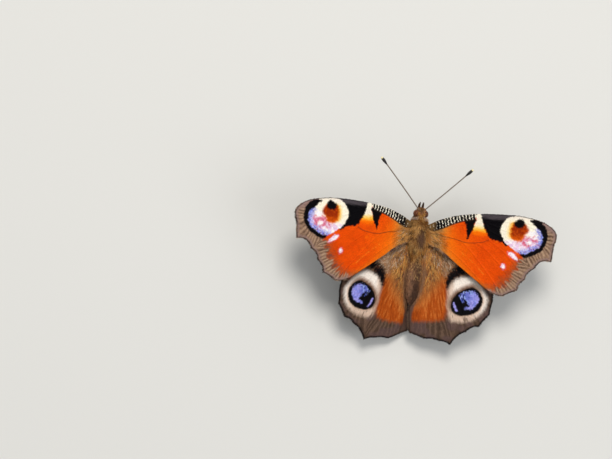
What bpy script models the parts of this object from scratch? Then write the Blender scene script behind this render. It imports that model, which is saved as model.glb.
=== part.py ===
"""Peacock butterfly, life size, basking with its wings spread.

The body lies in its own frame: +Y towards the head, +X to the animal's right, +Z to its back, with
its origin in the middle of the thorax. That frame is pitched head up and stands on four legs on the
floor. Each wing is drawn flat, in millimetres from its own root, and is then cambered, raised and
swept into the pose of a basking butterfly, the left pair a little differently from the right.
"""

import math

import bmesh
import bpy
import numpy as np
from mathutils import Matrix, Vector
from mathutils.geometry import delaunay_2d_cdt

MM = 0.001
SEAT = 0.31

BODY_PITCH = 5.0
THORAX_HEIGHT = 7.0

# Cross-sections of the body from front to back: y, half width, height above and below, middle z.
HEAD_SECTIONS = (
    (7.30, 0.22, 0.22, 0.22, -0.10),
    (7.05, 0.56, 0.52, 0.55, -0.08),
    (6.50, 0.82, 0.84, 0.90, 0.00),
    (5.90, 0.90, 0.98, 1.00, 0.05),
    (5.30, 1.00, 0.98, 0.94, 0.05),
    (4.90, 1.22, 1.10, 0.96, 0.05),
)
NECK_SECTIONS = (
    (4.60, 1.36, 1.22, 1.05, 0.05),
    (4.30, 1.52, 1.40, 1.22, 0.05),
    (3.90, 1.66, 1.60, 1.45, 0.05),
)
THORAX_SECTIONS = (
    (3.60, 1.74, 1.72, 1.58, 0.05),
    (3.00, 2.02, 2.05, 1.95, 0.05),
    (2.00, 2.28, 2.40, 2.34, 0.05),
    (0.60, 2.50, 2.60, 2.60, 0.00),
    (-0.80, 2.48, 2.55, 2.60, 0.00),
    (-2.20, 2.15, 2.25, 2.30, 0.00),
    (-3.40, 1.75, 1.80, 1.80, 0.00),
    (-4.40, 1.42, 1.42, 1.42, 0.00),
)
ABDOMEN_FRONT = -4.70
ABDOMEN_LENGTH = 9.9
ABDOMEN_HALF_WIDTHS = (1.40, 1.80, 1.98, 2.00, 1.90, 1.68, 1.30, 0.55)
ABDOMEN_DEPTH = 1.05
SEGMENT_RINGS = 4
SEGMENT_GROOVE = 0.09
ABDOMEN_DROOP = 0.9
BODY_SIDES = 24

EYE_CENTRE = (0.98, 5.85, 0.15)
EYE_RADII = (0.74, 0.82, 0.92)

PALP_ROUTE = ((0.32, 6.70, -0.62), (0.40, 7.25, -0.62), (0.42, 7.75, -0.36), (0.36, 8.20, 0.05))
PALP_RADII = (0.24, 0.28, 0.25, 0.10)

ANTENNA_BASE = (0.48, 6.55, 0.66)
ANTENNA_TIPS = {"right": (9.55, 16.70, 6.30), "left": (11.20, 17.30, 6.30)}
ANTENNA_BOW = 0.55
ANTENNA_RADIUS = 0.25
CLUB_RADIUS = 0.42
CLUB_LENGTH = 2.3
ANTENNA_RINGS = 10
# Places along the club, and how far it has swollen there from the shaft's radius to its own.
CLUB_SHAPE = ((0.20, 0.45), (0.45, 0.90), (0.70, 1.0), (0.88, 0.75), (1.0, -0.7))

PROBOSCIS_RADIUS = 0.25
COIL_CENTRE = (0.0, 6.45, -2.25)
COIL_RADII = (1.15, 0.34)
COIL_START = 100.0
COIL_TURN = 400.0
COIL_RINGS = 30

# Leg routes: the hip is in the body frame, and the knee, heel and toe stand over the floor.
MID_LEG = {
    "hip": (0.95, 0.90, -2.05),
    "knee": (4.30, 1.60, 4.90),
    "heel": (6.20, 2.40, 0.55),
    "toe": (7.10, 4.30, 0.22),
}
HIND_LEG = {
    "hip": (0.95, -1.90, -1.85),
    "knee": (4.10, -4.40, 4.60),
    "heel": (5.90, -7.20, 0.55),
    "toe": (6.90, -9.60, 0.22),
}
FORELEG_ROUTE = ((0.75, 2.60, -1.55), (1.25, 3.70, -2.95), (0.85, 5.00, -2.75), (0.70, 5.45, -1.75))
FORELEG_RADII = (0.34, 0.36, 0.30, 0.20)
LEG_RADII = {"hip": 0.46, "knee": 0.34, "heel": 0.27, "toe": 0.27}
LEG_JOINTS = ("hip", "knee", "heel", "toe")
LEG_RINGS = (6, 6, 5)
LIMB_SIDES = 10

WING_THICKNESS = 0.5
FORE_ROOT = {"right": (2.4, 1.5, 0.8), "left": (2.2, 1.6, 0.8)}
HIND_ROOT = {"right": (2.0, -1.0, -0.45), "left": (1.4, -2.0, -0.45)}
# Each wing's pose about its root, in degrees: raised from level, swept forward, leading edge up.
FORE_POSE = {"right": (14.0, 0.0, 0.0), "left": (15.8, -1.3, -3.7)}
HIND_POSE = {"right": (10.0, 0.0, 0.0), "left": (18.0, 0.7, 7.0)}
# The camber: each wing arches from root to edge, the forewing's edges curl down, and the hindwing
# dips into a gutter along the abdomen.
FORE_SPAN = 28.0
FORE_ARCH = 0.7
FORE_CURL = 0.006
FORE_CREST = 1.0
HIND_DEPTH = 21.0
HIND_ARCH = 0.5
GUTTER_LINE = -1.8
GUTTER_DEPTH = 0.8
GUTTER_WIDTH = 1.8

# Outlines, flat, in millimetres from the root. A span of the edge runs from one named vein's end
# to the next and is hollowed by the last number, so that the vein ends stand out as teeth.
FORE_COSTA = (
    (-1.6, 1.5),
    (0.0, 2.4),
    (2.3, 3.6),
    (6.2, 4.9),
    (11.7, 5.75),
    (18.3, 6.1),
    (22.3, 5.75),
    (25.3, 4.95),
    (27.2, 3.6),
    (27.8, 2.2),
    (27.35, 0.2),
    (27.25, -1.7),
)
FORE_TEETH = (
    ("M1", (27.1, -3.25), 0.0),
    ("M2", (23.55, -5.2), 0.88),
    ("M3", (21.75, -7.75), 0.42),
    ("CuA1", (20.35, -10.25), 0.38),
    ("CuA2", (17.4, -11.8), 0.15),
    ("2A", (14.5, -11.25), -0.20),
)
FORE_INNER = ((13.4, -10.7), (9.8, -8.1), (6.2, -5.6), (2.6, -3.0), (0.2, -1.9), (-1.6, -1.6))
HIND_COSTA = (
    (-1.4, 0.8),
    (0.6, 1.5),
    (3.6, 1.5),
    (7.4, 0.1),
    (11.0, -2.3),
    (13.9, -5.3),
    (15.4, -7.8),
    (15.85, -9.4),
)
HIND_TEETH = (
    ("Sc", (15.85, -11.0), 0.0),
    ("Rs", (15.5, -13.8), 0.06),
    ("M1", (13.5, -16.6), 0.12),
    ("M2", (10.8, -17.95), 0.33),
    ("M3", (7.6, -21.3), 0.45),
    ("CuA1", (4.9, -20.6), 0.22),
    ("CuA2", (1.7, -20.5), 0.20),
)
# The two hindwings meet behind the abdomen, so each has its own inner corner and rear of its edge.
HIND_CORNERS = {"right": ("2A", (-1.7, -19.5), 0.05), "left": ("2A", (-2.95, -18.5), 0.0)}
HIND_INNER_REAR = {
    "right": ((-2.0, -17.7), (-2.25, -15.4), (-2.2, -13.8), (-1.7, -12.2)),
    "left": ((-3.05, -17.6), (-2.75, -16.1), (-2.35, -14.5), (-1.85, -12.9)),
}
HIND_INNER = ((-1.0, -10.0), (-1.0, -6.0), (-1.2, -2.4), (-1.4, -0.8))
EDGE_STEP = 0.8
FILL_STEP = 2.0
FILL_CLEARANCE = 0.8

# The veins, flat, in the same millimetres, each from its root or fork to its end at the edge.
FORE_VEINS = {
    "Sc": ((-1.6, 1.2), (2.0, 2.4), (6.0, 3.9), (10.0, 4.8), (14.0, 5.75)),
    "R": ((-1.6, 0.8), (2.0, 1.5), (7.0, 2.9), (12.0, 3.9), (17.0, 4.5), (22.0, 4.6), (26.6, 4.1)),
    "R1": ((8.5, 3.2), (13.0, 4.7), (18.0, 6.05)),
    "R5": ((19.5, 4.6), (23.5, 3.3), (27.4, 0.6)),
    "M1": ((12.0, 3.9), (15.0, 3.0), (20.0, 1.2), (27.1, -3.25)),
    "M2": ((12.9, 2.2), (16.5, 0.7), (20.5, -1.9), (23.55, -5.2)),
    "M3": ((13.0, 0.1), (15.7, -1.5), (19.0, -4.4), (21.75, -7.75)),
    "cell_end": ((12.0, 3.9), (12.9, 2.2), (13.0, 0.1)),
    "Cu": ((-1.6, 0.2), (2.2, 0.0), (5.6, -0.4), (8.2, -0.95), (11.3, -0.6), (13.0, 0.1)),
    "CuA1": ((10.6, -0.75), (13.5, -2.8), (17.0, -6.1), (20.35, -10.25)),
    "CuA2": ((7.2, -0.75), (10.2, -3.6), (14.0, -7.8), (17.4, -11.8)),
    "2A": ((-1.6, -1.0), (3.0, -2.1), (8.0, -5.4), (14.5, -11.25)),
}
HIND_VEINS = {
    "Sc": ((-1.4, 0.35), (2.0, 0.6), (6.0, -0.3), (11.0, -3.9), (15.85, -11.0)),
    "Rs": ((1.5, -0.5), (5.0, -2.2), (10.0, -6.3), (15.5, -13.8)),
    "M1": ((5.0, -2.2), (8.4, -6.6), (11.3, -11.4), (13.5, -16.6)),
    "M2": ((5.9, -4.2), (7.8, -8.6), (9.6, -13.4), (10.8, -17.95)),
    "M3": ((5.2, -6.6), (6.5, -11.0), (7.3, -16.0), (7.6, -21.3)),
    "cell_end": ((5.0, -2.2), (5.9, -4.2), (5.2, -6.6)),
    "Cu": ((-1.4, -0.2), (1.5, -1.7), (3.4, -4.3), (5.2, -6.6)),
    "CuA1": ((4.5, -5.7), (5.0, -11.0), (5.1, -16.0), (4.9, -20.6)),
    "CuA2": ((2.2, -2.5), (2.7, -9.0), (2.4, -15.0), (1.7, -20.5)),
    "2A": ((-0.9, -1.0), (0.3, -5.0), (0.3, -12.0), (-1.0, -19.3)),
}
VEIN_STEP = 1.7
VEIN_HEIGHT = 0.17
VEIN_HALF_WIDTHS = (0.32, 0.18)

COLOURS = {
    "orange": (0.62, 0.11, 0.01, 1.0),
    "rust": (0.42, 0.13, 0.03, 1.0),
    "fur": (0.20, 0.11, 0.05, 1.0),
    "dark": (0.035, 0.025, 0.02, 1.0),
    "eye": (0.06, 0.03, 0.025, 1.0),
}
ROUGHNESS = {"orange": 0.75, "rust": 0.8, "fur": 0.9, "dark": 0.6, "eye": 0.25}


def clear_scene():
    for obj in list(bpy.data.objects):
        bpy.data.objects.remove(obj, do_unlink=True)


def material(name):
    made = bpy.data.materials.get(name)
    if made is None:
        made = bpy.data.materials.new(name)
        made.use_nodes = True
        shader = made.node_tree.nodes["Principled BSDF"]
        shader.inputs["Base Color"].default_value = COLOURS[name]
        shader.inputs["Roughness"].default_value = ROUGHNESS[name]
    return made


def new_object(name, points, faces, finish, parent, cutter=False):
    """A named mesh object from points in millimetres."""
    mesh = bpy.data.meshes.new(name)
    mesh.from_pydata([Vector(point) * MM for point in points], [], [list(face) for face in faces])
    mesh.validate()
    mesh.shade_smooth()
    mesh.set_sharp_from_angle(angle=math.radians(50))
    obj = bpy.data.objects.new(name, mesh)
    obj.data.materials.append(material(finish))
    bpy.context.scene.collection.objects.link(obj)
    obj.parent = parent
    if cutter:
        obj.hide_render = True
        obj.display_type = "WIRE"
    return obj


def curve_through(points, per_span):
    """Points along the smooth curve that passes through the given ones, per_span to a stretch."""
    known = np.array(points, float)
    padded = np.vstack([2 * known[0] - known[1], known, 2 * known[-1] - known[-2]])
    made = []
    for before, start, end, after in zip(padded, padded[1:], padded[2:], padded[3:]):
        t = np.linspace(0, 1, per_span, endpoint=False)[:, None]
        made.append(
            0.5
            * (
                2 * start
                + (end - before) * t
                + (2 * before - 5 * start + 4 * end - after) * t**2
                + (3 * start - before - 3 * end + after) * t**3
            )
        )
    return np.vstack([*made, known[-1:]])


def rings_to_faces(rings, sides):
    """Faces of a closed skin over equal rings of points, with a flat cap at each end."""
    faces = [range(sides - 1, -1, -1), range((rings - 1) * sides, rings * sides)]
    for ring in range(rings - 1):
        for side in range(sides):
            a = ring * sides + side
            b = ring * sides + (side + 1) % sides
            faces.append((a, b, b + sides, a + sides))
    return faces


def body_loft(name, sections, finish, parent, grow=0.0, cutter=False):
    """A body part as a skin over its cross-sections, made larger all round by grow."""
    sections = np.array(sections, float)
    angles = np.linspace(0, 2 * np.pi, BODY_SIDES, endpoint=False)
    points = []
    for number, (y, width, up, down, middle) in enumerate(sections):
        end = grow * ((number == 0) - (number == len(sections) - 1))
        height = np.where(np.cos(angles) > 0, up, down) + grow
        points.append(
            np.stack(
                [
                    (width + grow) * np.sin(angles),
                    np.full(BODY_SIDES, y + end),
                    middle + height * np.cos(angles),
                ],
                axis=1,
            )
        )
    faces = rings_to_faces(len(points), BODY_SIDES)
    made = new_object(name, np.vstack(points), faces, finish, parent, cutter)
    face_outwards(made)
    return made


def face_outwards(obj):
    work = bmesh.new()
    work.from_mesh(obj.data)
    bmesh.ops.recalc_face_normals(work, faces=work.faces)
    work.to_mesh(obj.data)
    work.free()


def abdomen_sections():
    """The abdomen's rings: a smooth taper with a shallow groove between its segments."""
    widths = curve_through([(width,) for width in ABDOMEN_HALF_WIDTHS], SEGMENT_RINGS)[:, 0]
    share = np.linspace(0, 1, len(widths))
    grooved = np.arange(len(widths)) % SEGMENT_RINGS == 0
    grooved[[0, -1]] = False
    radius = widths - SEGMENT_GROOVE * grooved
    middle = -ABDOMEN_DROOP * share**2
    y = ABDOMEN_FRONT - ABDOMEN_LENGTH * share
    return np.column_stack([y, radius, radius, ABDOMEN_DEPTH * radius, middle])


def cut_by(obj, *cutters):
    """Takes each cutter away from the object and keeps its largest closed surface."""
    for cutter in cutters:
        boolean = obj.modifiers.new(cutter.name, "BOOLEAN")
        boolean.operation = "DIFFERENCE"
        boolean.solver = "EXACT"
        boolean.object = cutter
    apply_modifiers(obj)
    keep_largest(obj)


def apply_modifiers(obj):
    bpy.context.view_layer.update()
    graph = bpy.context.evaluated_depsgraph_get()
    applied = bpy.data.meshes.new_from_object(obj.evaluated_get(graph))
    obj.modifiers.clear()
    obj.data = applied


def keep_largest(obj):
    """Drops every loose scrap but the largest closed surface."""
    work = bmesh.new()
    work.from_mesh(obj.data)
    left = set(work.faces)
    shells = []
    while left:
        shell, edge = set(), [left.pop()]
        while edge:
            face = edge.pop()
            shell.add(face)
            near = {other for side in face.edges for other in side.link_faces} & left
            left -= near
            edge.extend(near)
        shells.append(shell)
    largest = max(shells, key=lambda shell: sum(face.calc_area() for face in shell))
    scraps = [face for face in work.faces if face not in largest]
    bmesh.ops.delete(work, geom=scraps, context="FACES")
    work.to_mesh(obj.data)
    work.free()


def limb(name, route, radii, finish, parent, sides, floor=-np.inf):
    """A round limb along a route, its rings square to it, flattened where it meets the floor."""
    route = np.array(route, float)
    steps = np.diff(route, axis=0)
    steps /= np.linalg.norm(steps, axis=1)[:, None]
    tangents = np.vstack([steps[:1], steps[:-1] + steps[1:], steps[-1:]])
    tangents /= np.linalg.norm(tangents, axis=1)[:, None]
    across = np.cross(tangents[0], (0.0, 0.3, 1.0))
    angles = np.linspace(0, 2 * np.pi, sides, endpoint=False)
    points = []
    for place, tangent, radius in zip(route, tangents, radii):
        across = across - tangent * (across @ tangent)
        across /= np.linalg.norm(across)
        upward = np.cross(across, tangent)
        ring = place + radius * (
            np.cos(angles)[:, None] * across + np.sin(angles)[:, None] * upward
        )
        points.append(ring)
    points = np.vstack(points)
    points[:, 2] = np.maximum(points[:, 2], floor)
    made = new_object(name, points, rings_to_faces(len(route), sides), finish, parent)
    face_outwards(made)
    return made


def mirrored(points, side):
    """The same points on the animal's left, or as they are for its right."""
    flip = -1.0 if side == "left" else 1.0
    return [(flip * x, y, z) for x, y, z in points]


def make_eye(side, parent, room):
    """A domed compound eye set on the side of the head."""
    work = bmesh.new()
    bmesh.ops.create_uvsphere(work, u_segments=20, v_segments=12, radius=1.0)
    flip = -1.0 if side == "left" else 1.0
    points = [
        (
            flip * (EYE_CENTRE[0] + EYE_RADII[0] * vert.co.z),
            EYE_CENTRE[1] + EYE_RADII[1] * vert.co.x,
            EYE_CENTRE[2] + EYE_RADII[2] * vert.co.y,
        )
        for vert in work.verts
    ]
    faces = [[vert.index for vert in face.verts] for face in work.faces]
    work.free()
    eye = new_object(f"eye_{side}", points, faces, "eye", parent)
    face_outwards(eye)
    cut_by(eye, room)


def make_palp(side, parent, room):
    """A labial palp, held up in front of the head like a short beak."""
    route = curve_through(mirrored(PALP_ROUTE, side), 4)
    radii = curve_through([(r,) for r in PALP_RADII], 4)[:, 0]
    palp = limb(f"palp_{side}", route, radii, "fur", parent, LIMB_SIDES)
    cut_by(palp, room)


def make_antenna(side, parent, room):
    """A thin straight feeler that swells into a club at its tip."""
    base = np.array(ANTENNA_BASE)
    tip = np.array(ANTENNA_TIPS[side])
    length = np.linalg.norm(tip - base)
    club_start = 1 - CLUB_LENGTH / length
    in_club, swelling = np.array(CLUB_SHAPE).T
    shares = np.append(
        np.linspace(0, club_start, ANTENNA_RINGS), club_start + (1 - club_start) * in_club
    )
    radii = np.append(
        np.full(ANTENNA_RINGS, ANTENNA_RADIUS),
        ANTENNA_RADIUS + (CLUB_RADIUS - ANTENNA_RADIUS) * swelling,
    )
    route = base + (tip - base) * shares[:, None]
    route[:, 2] += ANTENNA_BOW * np.sin(np.pi * shares)
    feeler = limb(f"antenna_{side}", mirrored(route, side), radii, "dark", parent, LIMB_SIDES)
    cut_by(feeler, room)


def make_proboscis(parent, *rooms):
    """The tongue, coiled up like a watch spring under the head."""
    angles = np.radians(COIL_START - np.linspace(0, COIL_TURN, COIL_RINGS))
    radius = np.linspace(*COIL_RADII, COIL_RINGS)
    coil = radius * np.array([np.zeros(COIL_RINGS), np.cos(angles), np.sin(angles)])
    route = coil.T + COIL_CENTRE
    thickness = np.full(COIL_RINGS, PROBOSCIS_RADIUS)
    tongue = limb("proboscis", route, thickness, "dark", parent, LIMB_SIDES)
    cut_by(tongue, *rooms)


def leg_route(leg, side, body_frame):
    """Places and radii along a leg, from its hip in the body to its toe on the floor."""
    joints = {name: np.array(mirrored([leg[name]], side)[0]) for name in LEG_JOINTS}
    joints["hip"] = np.array(body_frame @ Vector(joints["hip"]))
    route, radii = [joints["hip"]], [LEG_RADII["hip"]]
    for first, last, rings in zip(LEG_JOINTS, LEG_JOINTS[1:], LEG_RINGS):
        for share in np.arange(1, rings + 1) / rings:
            route.append(joints[first] + (joints[last] - joints[first]) * share)
            radii.append(LEG_RADII[first] + (LEG_RADII[last] - LEG_RADII[first]) * share)
    return np.array(route), np.array(radii)


def make_walking_leg(name, leg, side, floor_frame, body_frame, room):
    """A thin jointed leg with its foot flat on the floor."""
    route, radii = leg_route(leg, side, body_frame)
    made = limb(f"{name}_{side}", route, radii, "dark", floor_frame, LIMB_SIDES, floor=0.0)
    cut_by(made, room)


def make_foreleg(side, parent, *rooms):
    """A brush-foot: the reduced foreleg, folded up under the neck."""
    route = curve_through(mirrored(FORELEG_ROUTE, side), 4)
    radii = curve_through([(r,) for r in FORELEG_RADII], 4)[:, 0]
    made = limb(f"foreleg_{side}", route, radii, "fur", parent, LIMB_SIDES)
    cut_by(made, *rooms)


def wing_outline(costa, teeth, inner):
    """The closed edge of a wing: its front, then the hollow spans between vein ends, then its back."""
    edge = list(curve_through([*costa, teeth[0][1]], 3))
    for (_, start, _), (_, end, hollow) in zip(teeth, teeth[1:]):
        start, end = np.array(start), np.array(end)
        count = max(3, round(np.linalg.norm(end - start) / EDGE_STEP))
        along = end - start
        inward = np.array([along[1], -along[0]]) / np.linalg.norm(along)
        for share in np.arange(1, count + 1) / count:
            sag = hollow * 4 * share * (1 - share)
            edge.append(start + along * share + inward * sag)
    edge += list(curve_through([teeth[-1][1], *inner], 2)[1:])
    return np.array(edge)


def inside(points, outline):
    """Whether each point lies within the closed outline."""
    x, y = points[:, 0], points[:, 1]
    found = np.zeros(len(points), bool)
    for (x1, y1), (x2, y2) in zip(outline, np.roll(outline, -1, axis=0)):
        crosses = (y1 > y) != (y2 > y)
        found ^= crosses & (x < (x2 - x1) * (y - y1) / (y2 - y1 + 1e-12) + x1)
    return found


def distance_to_lines(points, lines):
    """Distance from each point to the nearest of the lines."""
    nearest = np.full(len(points), np.inf)
    for line in lines:
        for start, end in zip(line, line[1:]):
            along = end - start
            share = np.clip((points - start) @ along / (along @ along), 0, 1)
            gap = np.linalg.norm(points - start - share[:, None] * along, axis=1)
            nearest = np.minimum(nearest, gap)
    return nearest


def fill_points(outline, veins, step):
    """A plain grid of points inside an outline, clear of its edge and of the veins."""
    low, high = outline.min(axis=0), outline.max(axis=0)
    across, up = np.arange(low[0], high[0], step), np.arange(low[1], high[1], step)
    grid = np.stack(np.meshgrid(across, up), -1).reshape(-1, 2)
    near = distance_to_lines(grid, [*veins, np.vstack([outline, outline[:1]])])
    return grid[inside(grid, outline) & (near > FILL_CLEARANCE)]


def vein_lines(veins):
    """Each vein as evenly spaced points along its middle."""
    lines = []
    for route in veins.values():
        fine = curve_through(route, 12)
        length = np.concatenate([[0], np.cumsum(np.linalg.norm(np.diff(fine, axis=0), axis=1))])
        even = np.linspace(0, length[-1], max(2, round(length[-1] / VEIN_STEP)) + 1)
        lines.append(np.column_stack([np.interp(even, length, fine[:, k]) for k in (0, 1)]))
    return lines


def vein_half_width(points, reach):
    """Half the width of a vein at each point: it thins from the wing's root to its edge."""
    share = np.clip(np.linalg.norm(points, axis=1) / reach, 0, 1)
    return VEIN_HALF_WIDTHS[0] + (VEIN_HALF_WIDTHS[1] - VEIN_HALF_WIDTHS[0]) * share


def vein_flanks(line, reach):
    """The two foot lines of a vein's ridge, which meet at its end."""
    along = np.gradient(line, axis=0)
    normal = np.column_stack([-along[:, 1], along[:, 0]])
    normal /= np.linalg.norm(normal, axis=1)[:, None]
    offset = normal * vein_half_width(line, reach)[:, None]
    return line[:-1] + offset[:-1], line[:-1] - offset[:-1]


def fore_surface(x, y):
    """Height of the forewing's middle surface over its flat plan."""
    span = np.clip(x / FORE_SPAN, 0, 1)
    return FORE_ARCH * np.sin(np.pi * span) - FORE_CURL * (y - FORE_CREST) ** 2 * span


def hind_surface(x, y):
    """Height of the hindwing's middle surface, which dips to a gutter along its inner edge."""
    back = np.clip(-y / HIND_DEPTH, 0, 1)
    gutter = GUTTER_DEPTH * np.exp(np.minimum(GUTTER_LINE - x, 0) / GUTTER_WIDTH)
    return HIND_ARCH * np.sin(np.pi * back) - gutter * back


def wing_frame(root, pose, side):
    """Carries a wing from its flat plan to the body frame."""
    raised, swept, pitched = pose[side]
    made = (
        Matrix.Translation(root[side])
        @ Matrix.Rotation(math.radians(-raised), 4, "Y")
        @ Matrix.Rotation(math.radians(pitched), 4, "X")
        @ Matrix.Rotation(math.radians(swept), 4, "Z")
    )
    if side == "left":
        made = Matrix.Scale(-1, 4, (1, 0, 0)) @ made
    return made


def triangulate(outline, veins, reach):
    """The wing's flat triangles, with an edge along each vein's crest and along both its feet."""
    points = list(outline)
    edges = []
    for line in veins:
        for part in (line, *vein_flanks(line, reach)):
            kept = part[inside(part, outline)]
            first = len(points)
            points += list(kept)
            edges += [(i, i + 1) for i in range(first, len(points) - 1)]
    points += list(fill_points(outline, veins, FILL_STEP))
    ring = [list(range(len(outline)))]
    found, _, faces, *_ = delaunay_2d_cdt([Vector(p) for p in points], edges, ring, 1, 1e-3)
    used = sorted({index for face in faces for index in face})
    place = {index: number for number, index in enumerate(used)}
    flat = np.array([tuple(found[index]) for index in used])
    return flat, [tuple(place[index] for index in face) for face in faces]


def make_wing(name, side, outline, veins, surface, frame, finish, parent, rooms):
    """A cambered plate with its veins raised on both faces, which have the same triangles."""
    reach = np.linalg.norm(outline, axis=1).max()
    flat, faces = triangulate(outline, veins, reach)
    middle = surface(flat[:, 0], flat[:, 1])
    slope = 1 - distance_to_lines(flat, veins) / vein_half_width(flat, reach)
    half = WING_THICKNESS / 2 + VEIN_HEIGHT * np.clip(slope, 0, 1)
    upper = np.column_stack([flat, middle + half])
    lower = np.column_stack([flat, middle - half])
    points = [tuple(frame @ Vector(p)) for p in np.vstack([upper, lower])]
    count = len(flat)
    skin = faces + [tuple(i + count for i in face[::-1]) for face in faces]
    sides = {pair for face in faces for pair in zip(face, [*face[1:], face[0]])}
    rim = sorted((a, b) for a, b in sides if (b, a) not in sides)
    skin += [(b, a, a + count) for a, b in rim]
    skin += [(b, a + count, b + count) for a, b in rim]
    wing = new_object(f"{name}_{side}", points, skin, finish, parent)
    face_outwards(wing)
    cut_by(wing, *rooms)


def set_on_floor_origin(floor_frame):
    """Moves everything so that the middle of the box's underside is the origin."""
    bpy.context.view_layer.update()
    corners = [
        obj.matrix_world @ vert.co
        for obj in bpy.data.objects
        if obj.type == "MESH" and not obj.hide_render
        for vert in obj.data.vertices
    ]
    low = [min(corner[axis] for corner in corners) for axis in range(3)]
    high = [max(corner[axis] for corner in corners) for axis in range(3)]
    floor_frame.location = (-(low[0] + high[0]) / 2, -(low[1] + high[1]) / 2, -low[2])


def main():
    clear_scene()
    floor_frame = bpy.data.objects.new("floor_frame", None)
    body = bpy.data.objects.new("body_frame", None)
    for empty in (floor_frame, body):
        bpy.context.scene.collection.objects.link(empty)
    body.parent = floor_frame
    body.location = (0, 0, THORAX_HEIGHT * MM)
    body.rotation_euler = (math.radians(BODY_PITCH), 0, 0)
    body_frame_mm = Matrix.Translation((0, 0, THORAX_HEIGHT)) @ Matrix.Rotation(
        math.radians(BODY_PITCH), 4, "X"
    )

    abdomen = abdomen_sections()
    body_loft("head", HEAD_SECTIONS, "fur", body)
    body_loft("neck", NECK_SECTIONS, "fur", body)
    body_loft("thorax", THORAX_SECTIONS, "fur", body)
    body_loft("abdomen", abdomen, "fur", body)
    head_room = body_loft("head_room", HEAD_SECTIONS, "fur", body, SEAT, True)
    neck_room = body_loft("neck_room", NECK_SECTIONS, "fur", body, SEAT, True)
    thorax_room = body_loft("thorax_room", THORAX_SECTIONS, "fur", body, SEAT, True)
    abdomen_room = body_loft("abdomen_room", abdomen, "fur", body, SEAT, True)

    fore_outline = wing_outline(FORE_COSTA, FORE_TEETH, FORE_INNER)
    fore_veins = vein_lines(FORE_VEINS)
    hind_veins = vein_lines(HIND_VEINS)
    for side in ("left", "right"):
        make_eye(side, body, head_room)
        make_palp(side, body, head_room)
        make_antenna(side, body, head_room)
        make_foreleg(side, body, thorax_room, neck_room)
        make_walking_leg("midleg", MID_LEG, side, floor_frame, body_frame_mm, thorax_room)
        make_walking_leg("hindleg", HIND_LEG, side, floor_frame, body_frame_mm, thorax_room)
        fore_frame = wing_frame(FORE_ROOT, FORE_POSE, side)
        hind_frame = wing_frame(HIND_ROOT, HIND_POSE, side)
        fore = (fore_outline, fore_veins, fore_surface, fore_frame)
        teeth = (*HIND_TEETH, HIND_CORNERS[side])
        hind_outline = wing_outline(HIND_COSTA, teeth, (*HIND_INNER_REAR[side], *HIND_INNER))
        hind = (hind_outline, hind_veins, hind_surface, hind_frame)
        make_wing("forewing", side, *fore, "orange", body, (thorax_room,))
        make_wing("hindwing", side, *hind, "rust", body, (thorax_room, abdomen_room))
    make_proboscis(body, head_room)
    set_on_floor_origin(floor_frame)


main()
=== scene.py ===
"""The looks of the peacock butterfly: scaled wings with their markings, furred body, eyes, feelers, legs.

Every shape is worked out in millimetres in the body's own frame, where +Y is the head, +X the animal's
right and +Z its back, and is carried to the row frame at the end. The wings' plans, veins and poses and
the body's sections are those of the solids.
"""

import math

import bpy
import numpy as np
from mathutils import Matrix, Vector
from mathutils.geometry import delaunay_2d_cdt


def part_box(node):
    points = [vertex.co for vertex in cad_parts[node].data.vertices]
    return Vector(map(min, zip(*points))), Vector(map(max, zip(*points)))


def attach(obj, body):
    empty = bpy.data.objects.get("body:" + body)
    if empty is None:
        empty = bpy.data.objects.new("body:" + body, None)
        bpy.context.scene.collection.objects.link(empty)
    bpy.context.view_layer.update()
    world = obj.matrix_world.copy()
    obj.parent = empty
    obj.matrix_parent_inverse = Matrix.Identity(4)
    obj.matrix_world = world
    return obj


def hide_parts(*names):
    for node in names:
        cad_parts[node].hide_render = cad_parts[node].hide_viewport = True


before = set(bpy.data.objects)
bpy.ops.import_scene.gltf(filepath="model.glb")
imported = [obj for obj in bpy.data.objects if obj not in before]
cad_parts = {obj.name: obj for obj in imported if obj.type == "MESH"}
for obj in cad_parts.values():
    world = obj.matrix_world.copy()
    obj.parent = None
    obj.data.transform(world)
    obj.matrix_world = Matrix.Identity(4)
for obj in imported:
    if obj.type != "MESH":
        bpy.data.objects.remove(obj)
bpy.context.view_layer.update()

MM = 0.001
SEED = 20
MAP_BORDER = 0.02
MAP_SIZE = 1 - 2 * MAP_BORDER

# The body's stance and sections, as in the solids: y, half width, height above and below, middle z.
BODY_PITCH = 5.0
THORAX_HEIGHT = 7.0
HEAD_SECTIONS = (
    (7.30, 0.22, 0.22, 0.22, -0.10),
    (7.05, 0.56, 0.52, 0.55, -0.08),
    (6.50, 0.82, 0.84, 0.90, 0.00),
    (5.90, 0.90, 0.98, 1.00, 0.05),
    (5.30, 1.00, 0.98, 0.94, 0.05),
    (4.90, 1.22, 1.10, 0.96, 0.05),
)
NECK_SECTIONS = (
    (4.60, 1.36, 1.22, 1.05, 0.05),
    (4.30, 1.52, 1.40, 1.22, 0.05),
    (3.90, 1.66, 1.60, 1.45, 0.05),
)
THORAX_SECTIONS = (
    (3.60, 1.74, 1.72, 1.58, 0.05),
    (3.00, 2.02, 2.05, 1.95, 0.05),
    (2.00, 2.28, 2.40, 2.34, 0.05),
    (0.60, 2.50, 2.60, 2.60, 0.00),
    (-0.80, 2.48, 2.55, 2.60, 0.00),
    (-2.20, 2.15, 2.25, 2.30, 0.00),
    (-3.40, 1.75, 1.80, 1.80, 0.00),
    (-4.40, 1.42, 1.42, 1.42, 0.00),
)
ABDOMEN_FRONT = -4.70
ABDOMEN_LENGTH = 9.9
ABDOMEN_HALF_WIDTHS = (1.40, 1.80, 1.98, 2.00, 1.90, 1.68, 1.30, 0.55)
ABDOMEN_DEPTH = 1.05
ABDOMEN_DROOP = 0.9
SEGMENT_GROOVE = 0.07
BODY_SIDES = 64
BODY_RINGS = 220
COAT_DEPTH = 0.30
NOSE_ROUNDING = 0.35
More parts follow.
